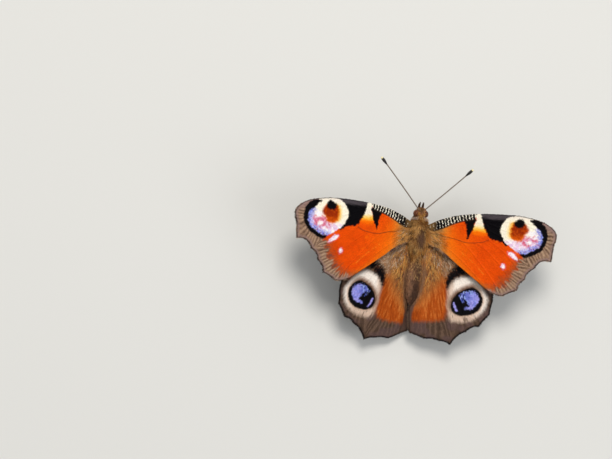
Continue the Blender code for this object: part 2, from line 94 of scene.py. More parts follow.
TAIL_ROUNDING = 0.7

EYE_CENTRE = (0.98, 5.85, 0.15)
EYE_RADII = (0.74, 0.82, 0.92)
PALP_ROUTE = ((0.32, 6.70, -0.62), (0.40, 7.25, -0.62), (0.42, 7.75, -0.36), (0.36, 8.20, 0.05))
PALP_RADII = (0.20, 0.22, 0.18, 0.04)
ANTENNA_BASE = (0.48, 6.55, 0.66)
ANTENNA_TIPS = {"right": (9.55, 16.70, 6.30), "left": (11.20, 17.30, 6.30)}
ANTENNA_BOW = 0.55
ANTENNA_RADIUS = 0.13
ANTENNA_SEGMENTS = 44
CLUB_RADIUS = 0.34
CLUB_LENGTH = 2.3
PROBOSCIS_RADIUS = 0.16
COIL_CENTRE = (0.0, 6.45, -2.25)
COIL_RADII = (1.15, 0.34)
COIL_START = 100.0
COIL_TURN = 400.0
COIL_RINGS = 90
COIL_RIBS = 45

MID_LEG = {
    "hip": (0.95, 0.90, -2.05),
    "knee": (4.30, 1.60, 4.90),
    "heel": (6.20, 2.40, 0.55),
    "toe": (7.10, 4.30, 0.22),
}
HIND_LEG = {
    "hip": (0.95, -1.90, -1.85),
    "knee": (4.10, -4.40, 4.60),
    "heel": (5.90, -7.20, 0.55),
    "toe": (6.90, -9.60, 0.22),
}
FORELEG_ROUTE = ((0.75, 2.60, -1.55), (1.25, 3.70, -2.95), (0.85, 5.00, -2.75), (0.70, 5.45, -1.75))
FORELEG_RADII = (0.24, 0.26, 0.20, 0.08)

# The wings, flat, in millimetres from each root, as in the solids, and each wing's pose: how far it is
# raised, swept and pitched, in degrees. Each tooth of an outer edge stands where a vein ends, and has its
# place and how hollow the edge is before it.
FORE_ROOT = {"right": (2.4, 1.5, 0.8), "left": (2.2, 1.6, 0.8)}
HIND_ROOT = {"right": (2.0, -1.0, -0.45), "left": (1.4, -2.0, -0.45)}
FORE_POSE = {"right": (14.0, 0.0, 0.0), "left": (15.8, -1.3, -3.7)}
HIND_POSE = {"right": (10.0, 0.0, 0.0), "left": (18.0, 0.7, 7.0)}
FORE_SPAN = 28.0
FORE_ARCH = 0.7
FORE_CURL = 0.006
FORE_CREST = 1.0
HIND_DEPTH = 21.0
HIND_ARCH = 0.5
GUTTER_LINE = -1.8
GUTTER_DEPTH = 0.8
GUTTER_WIDTH = 1.8
FORE_COSTA = (
    (-1.6, 1.5), (0.0, 2.4), (2.3, 3.6), (6.2, 4.9), (11.7, 5.75), (18.3, 6.1), (22.3, 5.75),
    (25.3, 4.95), (27.2, 3.6), (27.8, 2.2), (27.35, 0.2), (27.25, -1.7),
)
FORE_TEETH = (
    ((27.1, -3.25), 0.0),
    ((23.55, -5.2), 0.88),
    ((21.75, -7.75), 0.42),
    ((20.35, -10.25), 0.38),
    ((17.4, -11.8), 0.15),
    ((14.5, -11.25), -0.20),
)
FORE_INNER = ((13.4, -10.7), (9.8, -8.1), (6.2, -5.6), (2.6, -3.0), (0.2, -1.9), (-1.6, -1.6))
HIND_COSTA = (
    (-1.4, 0.8), (0.6, 1.5), (3.6, 1.5), (7.4, 0.1), (11.0, -2.3), (13.9, -5.3), (15.4, -7.8),
    (15.85, -9.4),
)
HIND_TEETH = (
    ((15.85, -11.0), 0.0),
    ((15.5, -13.8), 0.06),
    ((13.5, -16.6), 0.12),
    ((10.8, -17.95), 0.33),
    ((7.6, -21.3), 0.45),
    ((4.9, -20.6), 0.22),
    ((1.7, -20.5), 0.20),
)
HIND_CORNERS = {"right": ((-1.7, -19.5), 0.05), "left": ((-2.95, -18.5), 0.0)}
HIND_INNER_REAR = {
    "right": ((-2.0, -17.7), (-2.25, -15.4), (-2.2, -13.8), (-1.7, -12.2)),
    "left": ((-3.05, -17.6), (-2.75, -16.1), (-2.35, -14.5), (-1.85, -12.9)),
}
HIND_INNER = ((-1.0, -10.0), (-1.0, -6.0), (-1.2, -2.4), (-1.4, -0.8))
FORE_VEINS = {
    "Sc": ((-1.6, 1.2), (2.0, 2.4), (6.0, 3.9), (10.0, 4.8), (14.0, 5.75)),
    "R": ((-1.6, 0.8), (2.0, 1.5), (7.0, 2.9), (12.0, 3.9), (17.0, 4.5), (22.0, 4.6), (26.6, 4.1)),
    "R1": ((8.5, 3.2), (13.0, 4.7), (18.0, 6.05)),
    "R5": ((19.5, 4.6), (23.5, 3.3), (27.4, 0.6)),
    "M1": ((12.0, 3.9), (15.0, 3.0), (20.0, 1.2), (27.1, -3.25)),
    "M2": ((12.9, 2.2), (16.5, 0.7), (20.5, -1.9), (23.55, -5.2)),
    "M3": ((13.0, 0.1), (15.7, -1.5), (19.0, -4.4), (21.75, -7.75)),
    "cell_end": ((12.0, 3.9), (12.9, 2.2), (13.0, 0.1)),
    "Cu": ((-1.6, 0.2), (2.2, 0.0), (5.6, -0.4), (8.2, -0.95), (11.3, -0.6), (13.0, 0.1)),
    "CuA1": ((10.6, -0.75), (13.5, -2.8), (17.0, -6.1), (20.35, -10.25)),
    "CuA2": ((7.2, -0.75), (10.2, -3.6), (14.0, -7.8), (17.4, -11.8)),
    "2A": ((-1.6, -1.0), (3.0, -2.1), (8.0, -5.4), (14.5, -11.25)),
}
HIND_VEINS = {
    "Sc": ((-1.4, 0.35), (2.0, 0.6), (6.0, -0.3), (11.0, -3.9), (15.85, -11.0)),
    "Rs": ((1.5, -0.5), (5.0, -2.2), (10.0, -6.3), (15.5, -13.8)),
    "M1": ((5.0, -2.2), (8.4, -6.6), (11.3, -11.4), (13.5, -16.6)),
    "M2": ((5.9, -4.2), (7.8, -8.6), (9.6, -13.4), (10.8, -17.95)),
    "M3": ((5.2, -6.6), (6.5, -11.0), (7.3, -16.0), (7.6, -21.3)),
    "cell_end": ((5.0, -2.2), (5.9, -4.2), (5.2, -6.6)),
    "Cu": ((-1.4, -0.2), (1.5, -1.7), (3.4, -4.3), (5.2, -6.6)),
    "CuA1": ((4.5, -5.7), (5.0, -11.0), (5.1, -16.0), (4.9, -20.6)),
    "CuA2": ((2.2, -2.5), (2.7, -9.0), (2.4, -15.0), (1.7, -20.5)),
    "2A": ((-0.9, -1.0), (0.3, -5.0), (0.3, -12.0), (-1.0, -19.3)),
}
EDGE_STEP = 0.16
FRINGE_START = 0.62
LOOKUP_STEP = 0.08
# The membrane's triangles: the pitch of their corners along a row, the pitch of the rows, and how far inside
# the edge the corners stay, those beside a vein and the rest.
MEMBRANE_STEP = 0.45
MEMBRANE_ROW = MEMBRANE_STEP * 0.87
VEIN_INSET = 0.08
MEMBRANE_INSET = 0.12
# Half the membrane's thickness, and how high and how wide each vein stands on it.
MEMBRANE_HALF = 0.05
VEIN_RISE = 0.09
VEIN_SPREAD = 0.13
# The points from which the scales and veins of each wing fan out, then the pitch of the scales' rows and
# of the scales along a row, in millimetres, their length and width in those pitches, how much their size
# varies, how far inside the edge they grow, and how far they swing aside, in radians.
FORE_FAN = (-5.0, 2.6)
HIND_FAN = (0.4, 4.5)
SCALE_PITCH = {"upper": (0.150, 0.135), "under": (0.21, 0.19)}
SCALE_LENGTH = 1.75
SCALE_WIDTH = 1.15
SCALE_SIZES = (0.85, 1.15)
SCALE_INSET = 0.05
SCALE_SWING = 0.13

# The camera, from the photograph: it leans to the animal's left of the line square to its back, and
# the frame is turned so that the body slants. The thorax sits right of the frame's middle.
FRAME_WIDTH, FRAME_HEIGHT = 612, 459
LENS = 150.0
SENSOR = 36.0
MM_PER_PIXEL = 0.222
CAMERA_LEAN = 8.0
CAMERA_ROLL = 6.0
THORAX_PIXEL = (417.9, 240.0)


def linear(red, green, blue):
    """A colour as the eye reads it, 0 to 255, as the linear values that the renderer works in."""
    value = np.array([red, green, blue], float) / 255
    return np.where(value <= 0.04045, value / 12.92, ((value + 0.055) / 1.055) ** 2.4)


ORANGE = linear(236, 82, 3)
ORANGE_DEEP = linear(222, 70, 2)
ORANGE_PALE = linear(246, 112, 8)
ORANGE_REAR = linear(198, 84, 4)
ORANGE_BRIGHT = linear(255, 118, 2)
ORANGE_BROWN = linear(158, 76, 34)
YELLOW = linear(255, 190, 56)
OCHRE = linear(222, 134, 44)
BASE_BROWN = linear(178, 134, 80)
CREAM = linear(255, 243, 220)
CREAM_DULL = linear(246, 234, 222)
BUTTER = linear(255, 224, 146)
BLACK = linear(8, 6, 9)
CHARCOAL = linear(82, 74, 78)
MAROON = linear(152, 44, 2)
MAROON_PALE = linear(206, 78, 4)
PINK = linear(234, 200, 228)
ROSE = linear(216, 92, 120)
LILAC = linear(160, 154, 226)
BLUE = linear(118, 128, 218)
BLUE_DEEP = linear(58, 78, 160)
SKY = linear(170, 190, 246)
AMBER = linear(240, 132, 20)
WHITE = linear(255, 247, 246)
MARGIN = linear(143, 113, 91)
MARGIN_PALE = linear(180, 149, 121)
MARGIN_VIOLET = linear(154, 126, 120)
MARGIN_DARK = linear(82, 60, 48)
RUST = linear(172, 76, 18)
RUST_DEEP = linear(142, 58, 12)
RUST_PALE = linear(200, 110, 44)
TAWNY = linear(188, 122, 60)
GREY_BROWN = linear(158, 120, 88)
GOLD = linear(226, 170, 92)
SILVER = linear(222, 204, 178)
TAN = linear(204, 172, 148)
HALO = linear(104, 70, 52)
FOLD = linear(142, 104, 76)
UMBER = linear(80, 61, 49)
UMBER_PALE = linear(104, 81, 66)
UMBER_VIOLET = linear(96, 74, 72)
SEPIA = linear(92, 70, 60)
SEPIA_DARK = linear(46, 34, 26)
UNDER_DARK = linear(44, 34, 29)
UNDER_PALE = linear(84, 66, 52)


def noise(x, y, seed):
    """Smooth noise from -1 to 1: random values on whole-number places, blended in between."""
    table = np.random.default_rng(seed).uniform(-1, 1, (256, 256))
    left, low = np.floor(x).astype(int), np.floor(y).astype(int)
    across, up = x - left, y - low
    across, up = across**2 * (3 - 2 * across), up**2 * (3 - 2 * up)
    left, low = left & 255, low & 255
    right, high = (left + 1) & 255, (low + 1) & 255
    bottom = table[left, low] + (table[right, low] - table[left, low]) * across
    top = table[left, high] + (table[right, high] - table[left, high]) * across
    return bottom + (top - bottom) * up


def mottle(plan, scale, seed):
    """Noise over a plan, with that many blotches to a millimetre both ways."""
    return noise(plan[:, 0] * scale, plan[:, 1] * scale, seed)


def ease(start, end, value):
    """From 0 at start to 1 at end, with a soft beginning and end. The two may be in either order."""
    share = np.clip((value - start) / (end - start), 0, 1)
    return share**2 * (3 - 2 * share)


def curve_through(points, per_span):
    """Points along the smooth curve through the given ones, each stretch a cubic, per_span to one."""
    known = np.array(points, float)
    padded = np.vstack([2 * known[0] - known[1], known, 2 * known[-1] - known[-2]])
    made = []
    for before, start, end, after in zip(padded, padded[1:], padded[2:], padded[3:]):
        t = np.linspace(0, 1, per_span, endpoint=False)[:, None]
        bend = (2 * before - 5 * start + 4 * end - after) * t**2
        twist = (3 * start - before - 3 * end + after) * t**3
        made.append(0.5 * (2 * start + (end - before) * t + bend + twist))
    return np.vstack([*made, known[-1:]])


def values_through(values, per_span):
    """A smooth run of values through the given ones."""
    return curve_through(np.reshape(values, (-1, 1)), per_span)[:, 0]


def ring_through(points, per_span=6):
    """A closed smooth line through the given points."""
    known = np.array(points, float)
    wrapped = np.vstack([known[-2:], known, known[:3]])
    fine = curve_through(wrapped, per_span)
    return fine[2 * per_span : (len(known) + 2) * per_span]


def distance_to(points, line, closed=False):
    """Distance from each point to a line and, where it is closed, negative inside it."""
    ends = np.roll(line, -1, axis=0) if closed else line[1:]
    starts = line if closed else line[:-1]
    nearest = np.full(len(points), np.inf)
    within = np.zeros(len(points), bool)
    for start, end in zip(starts, ends):
        along = end - start
        offset = points - start
        share = np.clip(offset @ along / (along @ along + 1e-12), 0, 1)
        gap = offset - share[:, None] * along
        nearest = np.minimum(nearest, (gap**2).sum(axis=1))
        if closed:
            crossing = (end[1] > points[:, 1]) != (start[1] > points[:, 1])
            rise = along[1] if along[1] else 1e-12
            within ^= crossing & (offset[:, 0] < along[0] * offset[:, 1] / rise)
    return np.where(within, -1, 1) * np.sqrt(nearest)


def shape_gap(plan, points, per_span=6):
    """Distance from each place to the smooth closed line through the points, negative inside it."""
    return distance_to(plan, ring_through(points, per_span), closed=True)


class Lookup:
    """A function of the plan, worked out once on a fine grid and read back between its points."""

    def __init__(self, function, low, high, step):
        self.low, self.step = np.array(low, float) - 1.0, step
        counts = np.ceil((np.array(high) + 1.0 - self.low) / step).astype(int) + 1
        across, up = (self.low[k] + step * np.arange(counts[k]) for k in (0, 1))
        grid = np.stack(np.meshgrid(across, up, indexing="ij"), -1).reshape(-1, 2)
        self.values = function(grid).reshape(counts)

    def __call__(self, points):
        place = (points - self.low) / self.step
        cell = np.clip(np.floor(place).astype(int), 0, np.array(self.values.shape) - 2)
        share = np.clip(place - cell, 0, 1)
        i, j = cell.T
        near = self.values[i, j] * (1 - share[:, 1]) + self.values[i, j + 1] * share[:, 1]
        far = self.values[i + 1, j] * (1 - share[:, 1]) + self.values[i + 1, j + 1] * share[:, 1]
        return near * (1 - share[:, 0]) + far * share[:, 0]


def unit(vectors):
    """The same ways, each of length 1."""
    return vectors / (np.linalg.norm(vectors, axis=1)[:, None] + 1e-9)


def lay(ground, *coats):
    """Paints coats, each a colour and its cover, over the ground. A cover of 1 hides what is below it."""
    for colour, cover in coats:
        ground = ground + (colour - ground) * np.clip(cover, 0, 1)[:, None]
    return ground


def patch(plan, points, soft, rough, seed, grow=0.0):
    """How far each place lies within a smooth closed shape whose edge is soft and a little ragged."""
    gap = shape_gap(plan, points) - grow
    gap += rough * mottle(plan, 3.1, seed)
    gap += 0.6 * rough * mottle(plan, 7.3, seed + 1)
    return ease(soft, -soft, gap)


def stroke(plan, points, width, soft):
    """How far each place lies on a smooth line of that half width."""
    return ease(width + soft, width - soft, distance_to(plan, curve_through(points, 6)))


def walk_along(points, line):
    """How far along a line the nearest place on it lies, for each point."""
    nearest = np.full(len(points), np.inf)
    found = np.zeros(len(points))
    walked = 0.0
    for start, end in zip(line, line[1:]):
        along = end - start
        length = np.linalg.norm(along)
        offset = points - start
        share = np.clip(offset @ along / (length**2 + 1e-12), 0, 1)
        gap = ((offset - share[:, None] * along) ** 2).sum(axis=1)
        found = np.where(gap < nearest, walked + share * length, found)
        nearest = np.minimum(nearest, gap)
        walked += length
    return found


def fan(plan, centre):
    """Distance and direction of each place from the point that the wing's veins fan out from."""
    offset = plan - np.array(centre)
    return np.linalg.norm(offset, axis=1), np.arctan2(offset[:, 1], offset[:, 0])


# The forewing's markings, flat, in the wing's own millimetres. A MARGIN_LINE is where a margin begins.
FORE_EYE = (
    (18.5, 6.0), (17.0, 5.5), (16.1, 4.6), (15.5, 3.3), (15.5, 2.2), (16.0, 1.1), (16.5, 0.2),
    (17.5, -0.6), (18.6, -1.4), (19.8, -2.0), (20.8, -2.4), (22.2, -2.2), (23.5, -1.5), (24.8, -0.6),
    (25.4, 1.0), (25.3, 2.6), (24.9, 3.8), (23.4, 5.0), (21.6, 6.0), (20.0, 6.3),
)
CRESCENT_INNER = (
    (20.4, -2.4), (21.6, -2.2), (22.7, -1.6), (23.6, -1.1), (24.4, -0.5), (24.85, 0.4), (25.0, 1.3),
    (24.85, 2.3), (24.3, 3.3),
)
FORE_CRESCENT = (
    (21.8, 5.25), (22.4, 5.4), (23.5, 5.3), (24.5, 4.8), (25.25, 4.0), (25.65, 2.8), (25.75, 1.6),
    (25.55, 0.4), (24.8, -0.9), (23.8, -1.75), (22.7, -2.3), (21.8, -2.75), (21.0, -2.85),
    *CRESCENT_INNER, (23.5, 3.8), (22.9, 4.5), (22.4, 4.9),
)
FORE_MAROON = (
    (17.9, 3.8), (18.4, 4.4), (20.4, 4.5), (21.3, 3.9), (21.7, 3.1), (21.4, 2.5), (20.9, 2.1),
    (20.6, 1.6), (20.3, 0.9), (19.6, 0.6), (18.8, 0.7), (18.1, 1.1), (17.8, 1.9), (17.7, 2.8),
)
FORE_PUPIL = (
    (18.8, 5.0), (19.6, 5.4), (20.2, 5.15), (20.6, 4.4), (20.2, 3.75), (19.6, 3.5), (18.9, 3.6),
    (18.4, 4.1), (18.35, 4.6),
)
FORE_BLACK = (
    (10.9, 6.9), (11.0, 5.2), (11.3, 3.9), (11.95, 2.5), (12.45, 1.6), (13.0, 0.8), (13.9, 0.3),
    (15.0, 0.15), (16.1, -0.2), (17.2, -0.75), (17.8, 0.5), (17.6, 3.5), (18.6, 6.9),
)
FORE_TRIANGLE = (
    (7.0, 4.5), (7.4, 3.4), (7.85, 2.4), (8.05, 1.0), (8.35, -0.2), (8.8, 0.9), (9.25, 1.8),
    (9.55, 2.9), (9.9, 4.4), (8.5, 4.6),
)
FORE_CREAM = (
    (9.5, 6.5), (9.85, 4.2), (9.6, 2.9), (9.4, 2.0), (9.6, 0.9), (12.9, 0.7), (12.4, 1.7), (11.9, 2.6),
    (11.5, 4.4), (11.4, 6.5),
)
FORE_STRIP = (
    (-0.8, 1.6), (0.6, 0.95), (2.1, 1.4), (3.8, 2.3), (5.5, 3.12), (7.2, 3.75), (8.6, 4.05),
    (9.3, 4.35), (9.75, 5.0), (9.9, 7.0), (4.0, 6.0), (-0.8, 3.0),
)
FORE_MARGIN_LINE = (
    (18.0, 6.9), (20.5, 6.0), (21.8, 5.6), (23.4, 5.3), (24.5, 4.8), (25.2, 4.1), (25.6, 2.8),
    (25.7, 1.5), (25.5, 0.3), (24.6, -1.0), (23.4, -1.8), (22.0, -2.5), (21.0, -2.8), (20.7, -3.3),
    (20.3, -4.2), (20.1, -5.3), (19.6, -6.5), (18.7, -7.9), (17.7, -9.2), (16.4, -10.3), (14.8, -10.95),
)
FORE_MARGIN = (*FORE_MARGIN_LINE, (12.5, -11.2), (12.5, -13.0), (30.0, -13.0), (30.0, 8.0))
FORE_PALE_LINE = ((7.4, -3.2), (8.0, -3.7), (9.5, -4.7), (11.4, -6.3), (12.9, -7.7))
# The dark vein lines on the orange: how dark each is, and its half width.
FORE_LINES = (
    ("Cu", 0.75, 0.07),
    ("CuA1", 0.03, 0.05),
    ("CuA2", 0.05, 0.05),
    ("2A", 0.15, 0.06),
    ("cell_end", 0.1, 0.05),
)
FORE_SPOT_LONG = (
    (17.55, -2.2), (18.1, -1.95), (18.95, -2.4), (19.6, -3.1), (19.8, -3.65), (19.1, -3.45),
    (18.1, -2.9),
)
FORE_SPOT_ROUND = ((16.35, -5.15), (16.7, -4.75), (17.1, -5.1), (17.2, -5.6), (16.85, -5.85), (16.5, -5.6))

# The hindwing's markings.
HIND_EYE = (
    (11.3, -8.3), (12.3, -8.7), (13.1, -9.5), (13.65, -10.6), (13.5, -11.9), (12.9, -13.1),
    (11.7, -14.0), (10.5, -14.4), (9.1, -14.6), (8.0, -14.3), (7.2, -13.6), (6.95, -12.4), (7.2, -11.3),
    (7.8, -10.3), (8.5, -9.6), (9.4, -9.0), (10.5, -8.5),
)
HIND_RING = (
    (6.8, -15.2), (6.6, -13.3), (6.4, -11.1), (6.2, -9.3), (6.5, -8.0), (7.3, -7.0), (8.6, -6.3),
    (10.0, -6.0), (11.4, -6.5), (12.8, -7.7), (13.9, -8.9), (14.6, -10.0), (14.7, -11.1), (14.4, -12.5),
    (13.7, -13.8), (12.7, -14.9), (11.5, -15.6), (10.2, -16.0), (8.8, -16.2), (7.5, -16.0),
)
HIND_BAR = (
    (9.6, -3.2), (8.7, -3.5), (7.5, -3.9), (6.5, -4.7), (5.8, -5.8), (5.35, -6.9), (5.3, -8.4),
    (5.7, -8.9), (6.05, -8.3), (6.55, -7.3), (7.3, -6.4), (8.4, -5.6), (9.6, -5.2), (10.8, -5.0),
)
HIND_BLUE = (
    (8.9, -9.9), (9.6, -9.35), (10.4, -9.15), (11.4, -9.05), (12.3, -9.5), (12.85, -10.4),
    (12.85, -11.3), (12.3, -12.2), (11.6, -12.95), (10.7, -13.2), (9.85, -13.25), (9.8, -12.8),
    (10.9, -12.45), (10.6, -11.9), (10.0, -11.1), (9.3, -10.7), (8.8, -10.5),
)
HIND_FLECKS = (
    (((8.5, -10.3), (8.95, -10.95), (9.4, -11.8)), 0.12),
    (((9.0, -10.2), (9.3, -10.9), (9.65, -11.6)), 0.10),
)
HIND_SICKLE = (
    (7.5, -11.8), (7.8, -12.3), (8.05, -13.0), (8.5, -13.7), (8.3, -14.0), (7.9, -13.6), (7.55, -12.9),
    (7.35, -12.2),
)
HIND_MARGIN_LINE = (
    (-4.5, -15.6), (-2.6, -16.4), (-1.3, -16.9), (0.5, -16.9), (2.7, -16.7), (4.4, -16.4), (5.6, -15.9),
    (6.6, -15.5), (7.6, -15.2), (8.9, -15.5), (10.4, -15.3), (11.8, -14.8), (12.9, -13.9),
    (13.7, -12.7), (14.1, -11.3), (13.9, -10.0), (13.2, -9.0),
)
HIND_MARGIN = (*HIND_MARGIN_LINE, (19.0, -7.0), (19.0, -24.0), (-4.5, -24.0))
HIND_HAIR_REGION = (
    (-1.0, 0.6), (2.5, 0.2), (4.6, -2.0), (5.1, -3.8), (4.6, -5.6), (3.6, -7.0), (2.6, -8.5),
    (1.5, -9.8), (0.4, -11.0), (-0.4, -12.0), (-1.3, -12.3), (-1.2, -6.0),
)
CLUMP_SEED = 77
# Blotches to a millimetre in the wings' grain.
GRAIN = 4.3
# The fold beside the abdomen reaches this far out, at each distance behind the hindwing's root.
FOLD_LINE = ((3.0, 0.7), (6.0, 0.8), (8.0, 0.5), (10.0, 0.2), (12.2, -0.6), (14.2, -1.3), (16.5, -1.4))
HIND_BASE = (
    (-3.0, 3.0), (8.0, 3.0), (10.0, -3.0), (8.3, -4.2), (6.8, -4.9), (5.8, -6.0), (4.9, -6.2),
    (4.0, -5.0), (1.8, -3.0), (-3.0, -3.0),
)


def paint_forewing(plan, seed, edge_gap):
    """The forewing's upper side: orange-red with a black and cream front edge, eyespot and margin."""
    x, y = plan.T
    reach, turn = fan(plan, FORE_FAN)
    streak = noise(reach * 0.55, turn * 42, seed) * 0.6 + noise(reach * 1.6, turn * 95, seed + 1) * 0.4
    grain = mottle(plan, GRAIN, seed + 2)
    broad = mottle(plan, 0.5, seed + 3)
    colour = lay(
        ORANGE,
        (ORANGE_DEEP, 0.3 + 0.4 * broad + 0.5 * streak),
        (ORANGE_PALE, ease(12.5, 4.0, x) * ease(2.2, -1.5, y) * (0.7 + 0.3 * streak)),
        (ORANGE_BRIGHT, ease(0.4, 0.8, streak) * 0.45),
    )
    # How far each place lies in front of the straight line from the root along the rear edge.
    rear = (x * 11.25 + y * 14.5) / 18.35 + 1.2
    colour = lay(colour, (ORANGE_REAR, ease(1.6, 0.2, rear + 0.3 * streak) * 0.7))
    mottled = ease(0.0, 0.7, mottle(plan, 0.9, seed + 28) + 0.4 * grain)
    colour = lay(
        colour,
        (ORANGE_DEEP * 0.72, ease(12.0, 18.0, x) * ease(-2.0, -7.0, y) * (0.3 + 0.45 * mottled)),
        (ORANGE_DEEP * 0.8, mottled * 0.25),
    )
    near = x - 0.1 * (y + 0.6) ** 2 + 0.5 * streak + 0.3 * grain
    colour = lay(
        colour,
        (AMBER, ease(7.0, 3.6, near) * ease(3.0, 1.0, y) * 0.35),
        (OCHRE, ease(4.8, 2.4, near) * 0.9),
        (BASE_BROWN, ease(3.0, 1.6, near) * 0.85),
    )
    for name, strength, width in FORE_LINES:
        colour = lay(colour, (SEPIA_DARK, strength * stroke(plan, FORE_VEINS[name], width, 0.12)))
    colour = lay(colour, (YELLOW, 0.4 * stroke(plan, FORE_PALE_LINE, 0.06, 0.16) * ease(0.4, -0.4, grain)))

    glow = ease(2.2, 0.2, np.hypot((x - 10.6) * 0.8, y - 2.2)) * ease(0.0, 1.0, y + 0.3 * grain)
    colour = lay(colour, (ORANGE_BRIGHT, glow * 0.9))
    cream = patch(plan, FORE_CREAM, 0.16, 0.12, seed + 4)
    fade = y + 0.3 * streak + 0.15 * grain
    warm = lay(
        ORANGE_BRIGHT,
        (YELLOW, ease(1.5, 2.3, fade)),
        (BUTTER, ease(2.1, 2.8, fade)),
        (CREAM, ease(2.6, 3.5, fade)),
    )
    colour = lay(
        colour,
        (warm, cream * ease(0.9, 1.7, fade)),
        (BLACK, patch(plan, FORE_TRIANGLE, 0.10, 0.12, seed + 6)),
    )

    strip = patch(plan, FORE_STRIP, 0.14, 0.08, seed + 8)
    slant = x * 1.4 + 0.45 * y + 0.2 * noise(x * 1.3, y * 2.5, seed + 9)
    bars = np.sin(2 * np.pi * slant) + 0.1 * grain + 0.25 * noise(x * 2.2, y * 5.0, seed + 5)
    bars += 0.4 * ease(5.0, 0.5, x)
    barred = lay(CREAM, (BLACK, ease(-0.74, -0.5, bars)), (BASE_BROWN * 0.8, ease(1.6, 0.2, x) * 0.5))
    colour = lay(colour, (barred, strip))
    under_strip = ease(0.22, 0.08, np.abs(shape_gap(plan, FORE_STRIP) - 0.04)) * ease(4.6, 4.0, y)
    colour = lay(colour, (SEPIA_DARK, under_strip * 0.85))

    black = patch(plan, FORE_BLACK, 0.13, 0.14, seed + 10)
    sooty = lay(BLACK, (CHARCOAL, ease(4.5, 5.3, y + 0.3 * streak) * 0.85))
    colour = lay(colour, (sooty, black))

    low_half = ease(-2.6, -4.0, y)
    gap = shape_gap(plan, FORE_MARGIN, 5)
    walk = walk_along(plan, curve_through(FORE_MARGIN_LINE, 5))
    comb = noise(walk * 2.4, gap * 0.5, seed + 21) + 0.6 * noise(walk * 5.0, gap * 0.9, seed + 23)
    ragged = gap + (0.3 * grain + 1.0 * comb) * low_half
    colour = lay(colour, (ORANGE_BROWN, ease(2.4, 0.2, gap + 0.4 * grain + 0.6 * comb) * low_half * 0.75))
    specks = ease(0.35, 0.8, comb + 0.4 * grain) * ease(2.2, 0.4, gap) * low_half
    colour = lay(colour, (SEPIA, specks * 0.7))
    soft = 0.2 + 0.35 * low_half
    brown = margin_brown(plan, walk, edge_gap, seed + 22, (MARGIN, MARGIN_PALE, MARGIN_DARK), 0.75)
    brown = lay(
        brown,
        (MARGIN_VIOLET, ease(0.75, 0.35, -edge_gap(plan) + 0.2 * grain) * 0.6),
        (MARGIN_VIOLET, ease(2.4, 4.2, y) * 0.6),
    )
    colour = lay(colour, (brown, ease(soft, -soft, ragged - 0.4 * ease(-1.0, 1.5, y))))

    eye = patch(plan, FORE_EYE, 0.11, 0.12, seed + 12)
    colour = lay(
        colour,
        (fore_eyespot(plan, grain, streak, seed), eye),
        (BLACK, patch(plan, FORE_CRESCENT, 0.12, 0.14, seed + 20, 0.14)),
    )
    for points, spot_seed in ((FORE_SPOT_LONG, seed + 24), (FORE_SPOT_ROUND, seed + 26)):
        colour = lay(
            colour,
            (ROSE, patch(plan, points, 0.34, 0.16, spot_seed, 0.1) * 0.6),
            (PINK, patch(plan, points, 0.2, 0.16, spot_seed) * 0.95),
            (WHITE, patch(plan, points, 0.16, 0.12, spot_seed) * ease(-0.6, 0.3, grain) * 0.9),
        )
    return lay(colour, (BLACK, ease(-0.2, -0.08, edge_gap(plan)) * ease(10.6, 11.4, x) * 0.8))


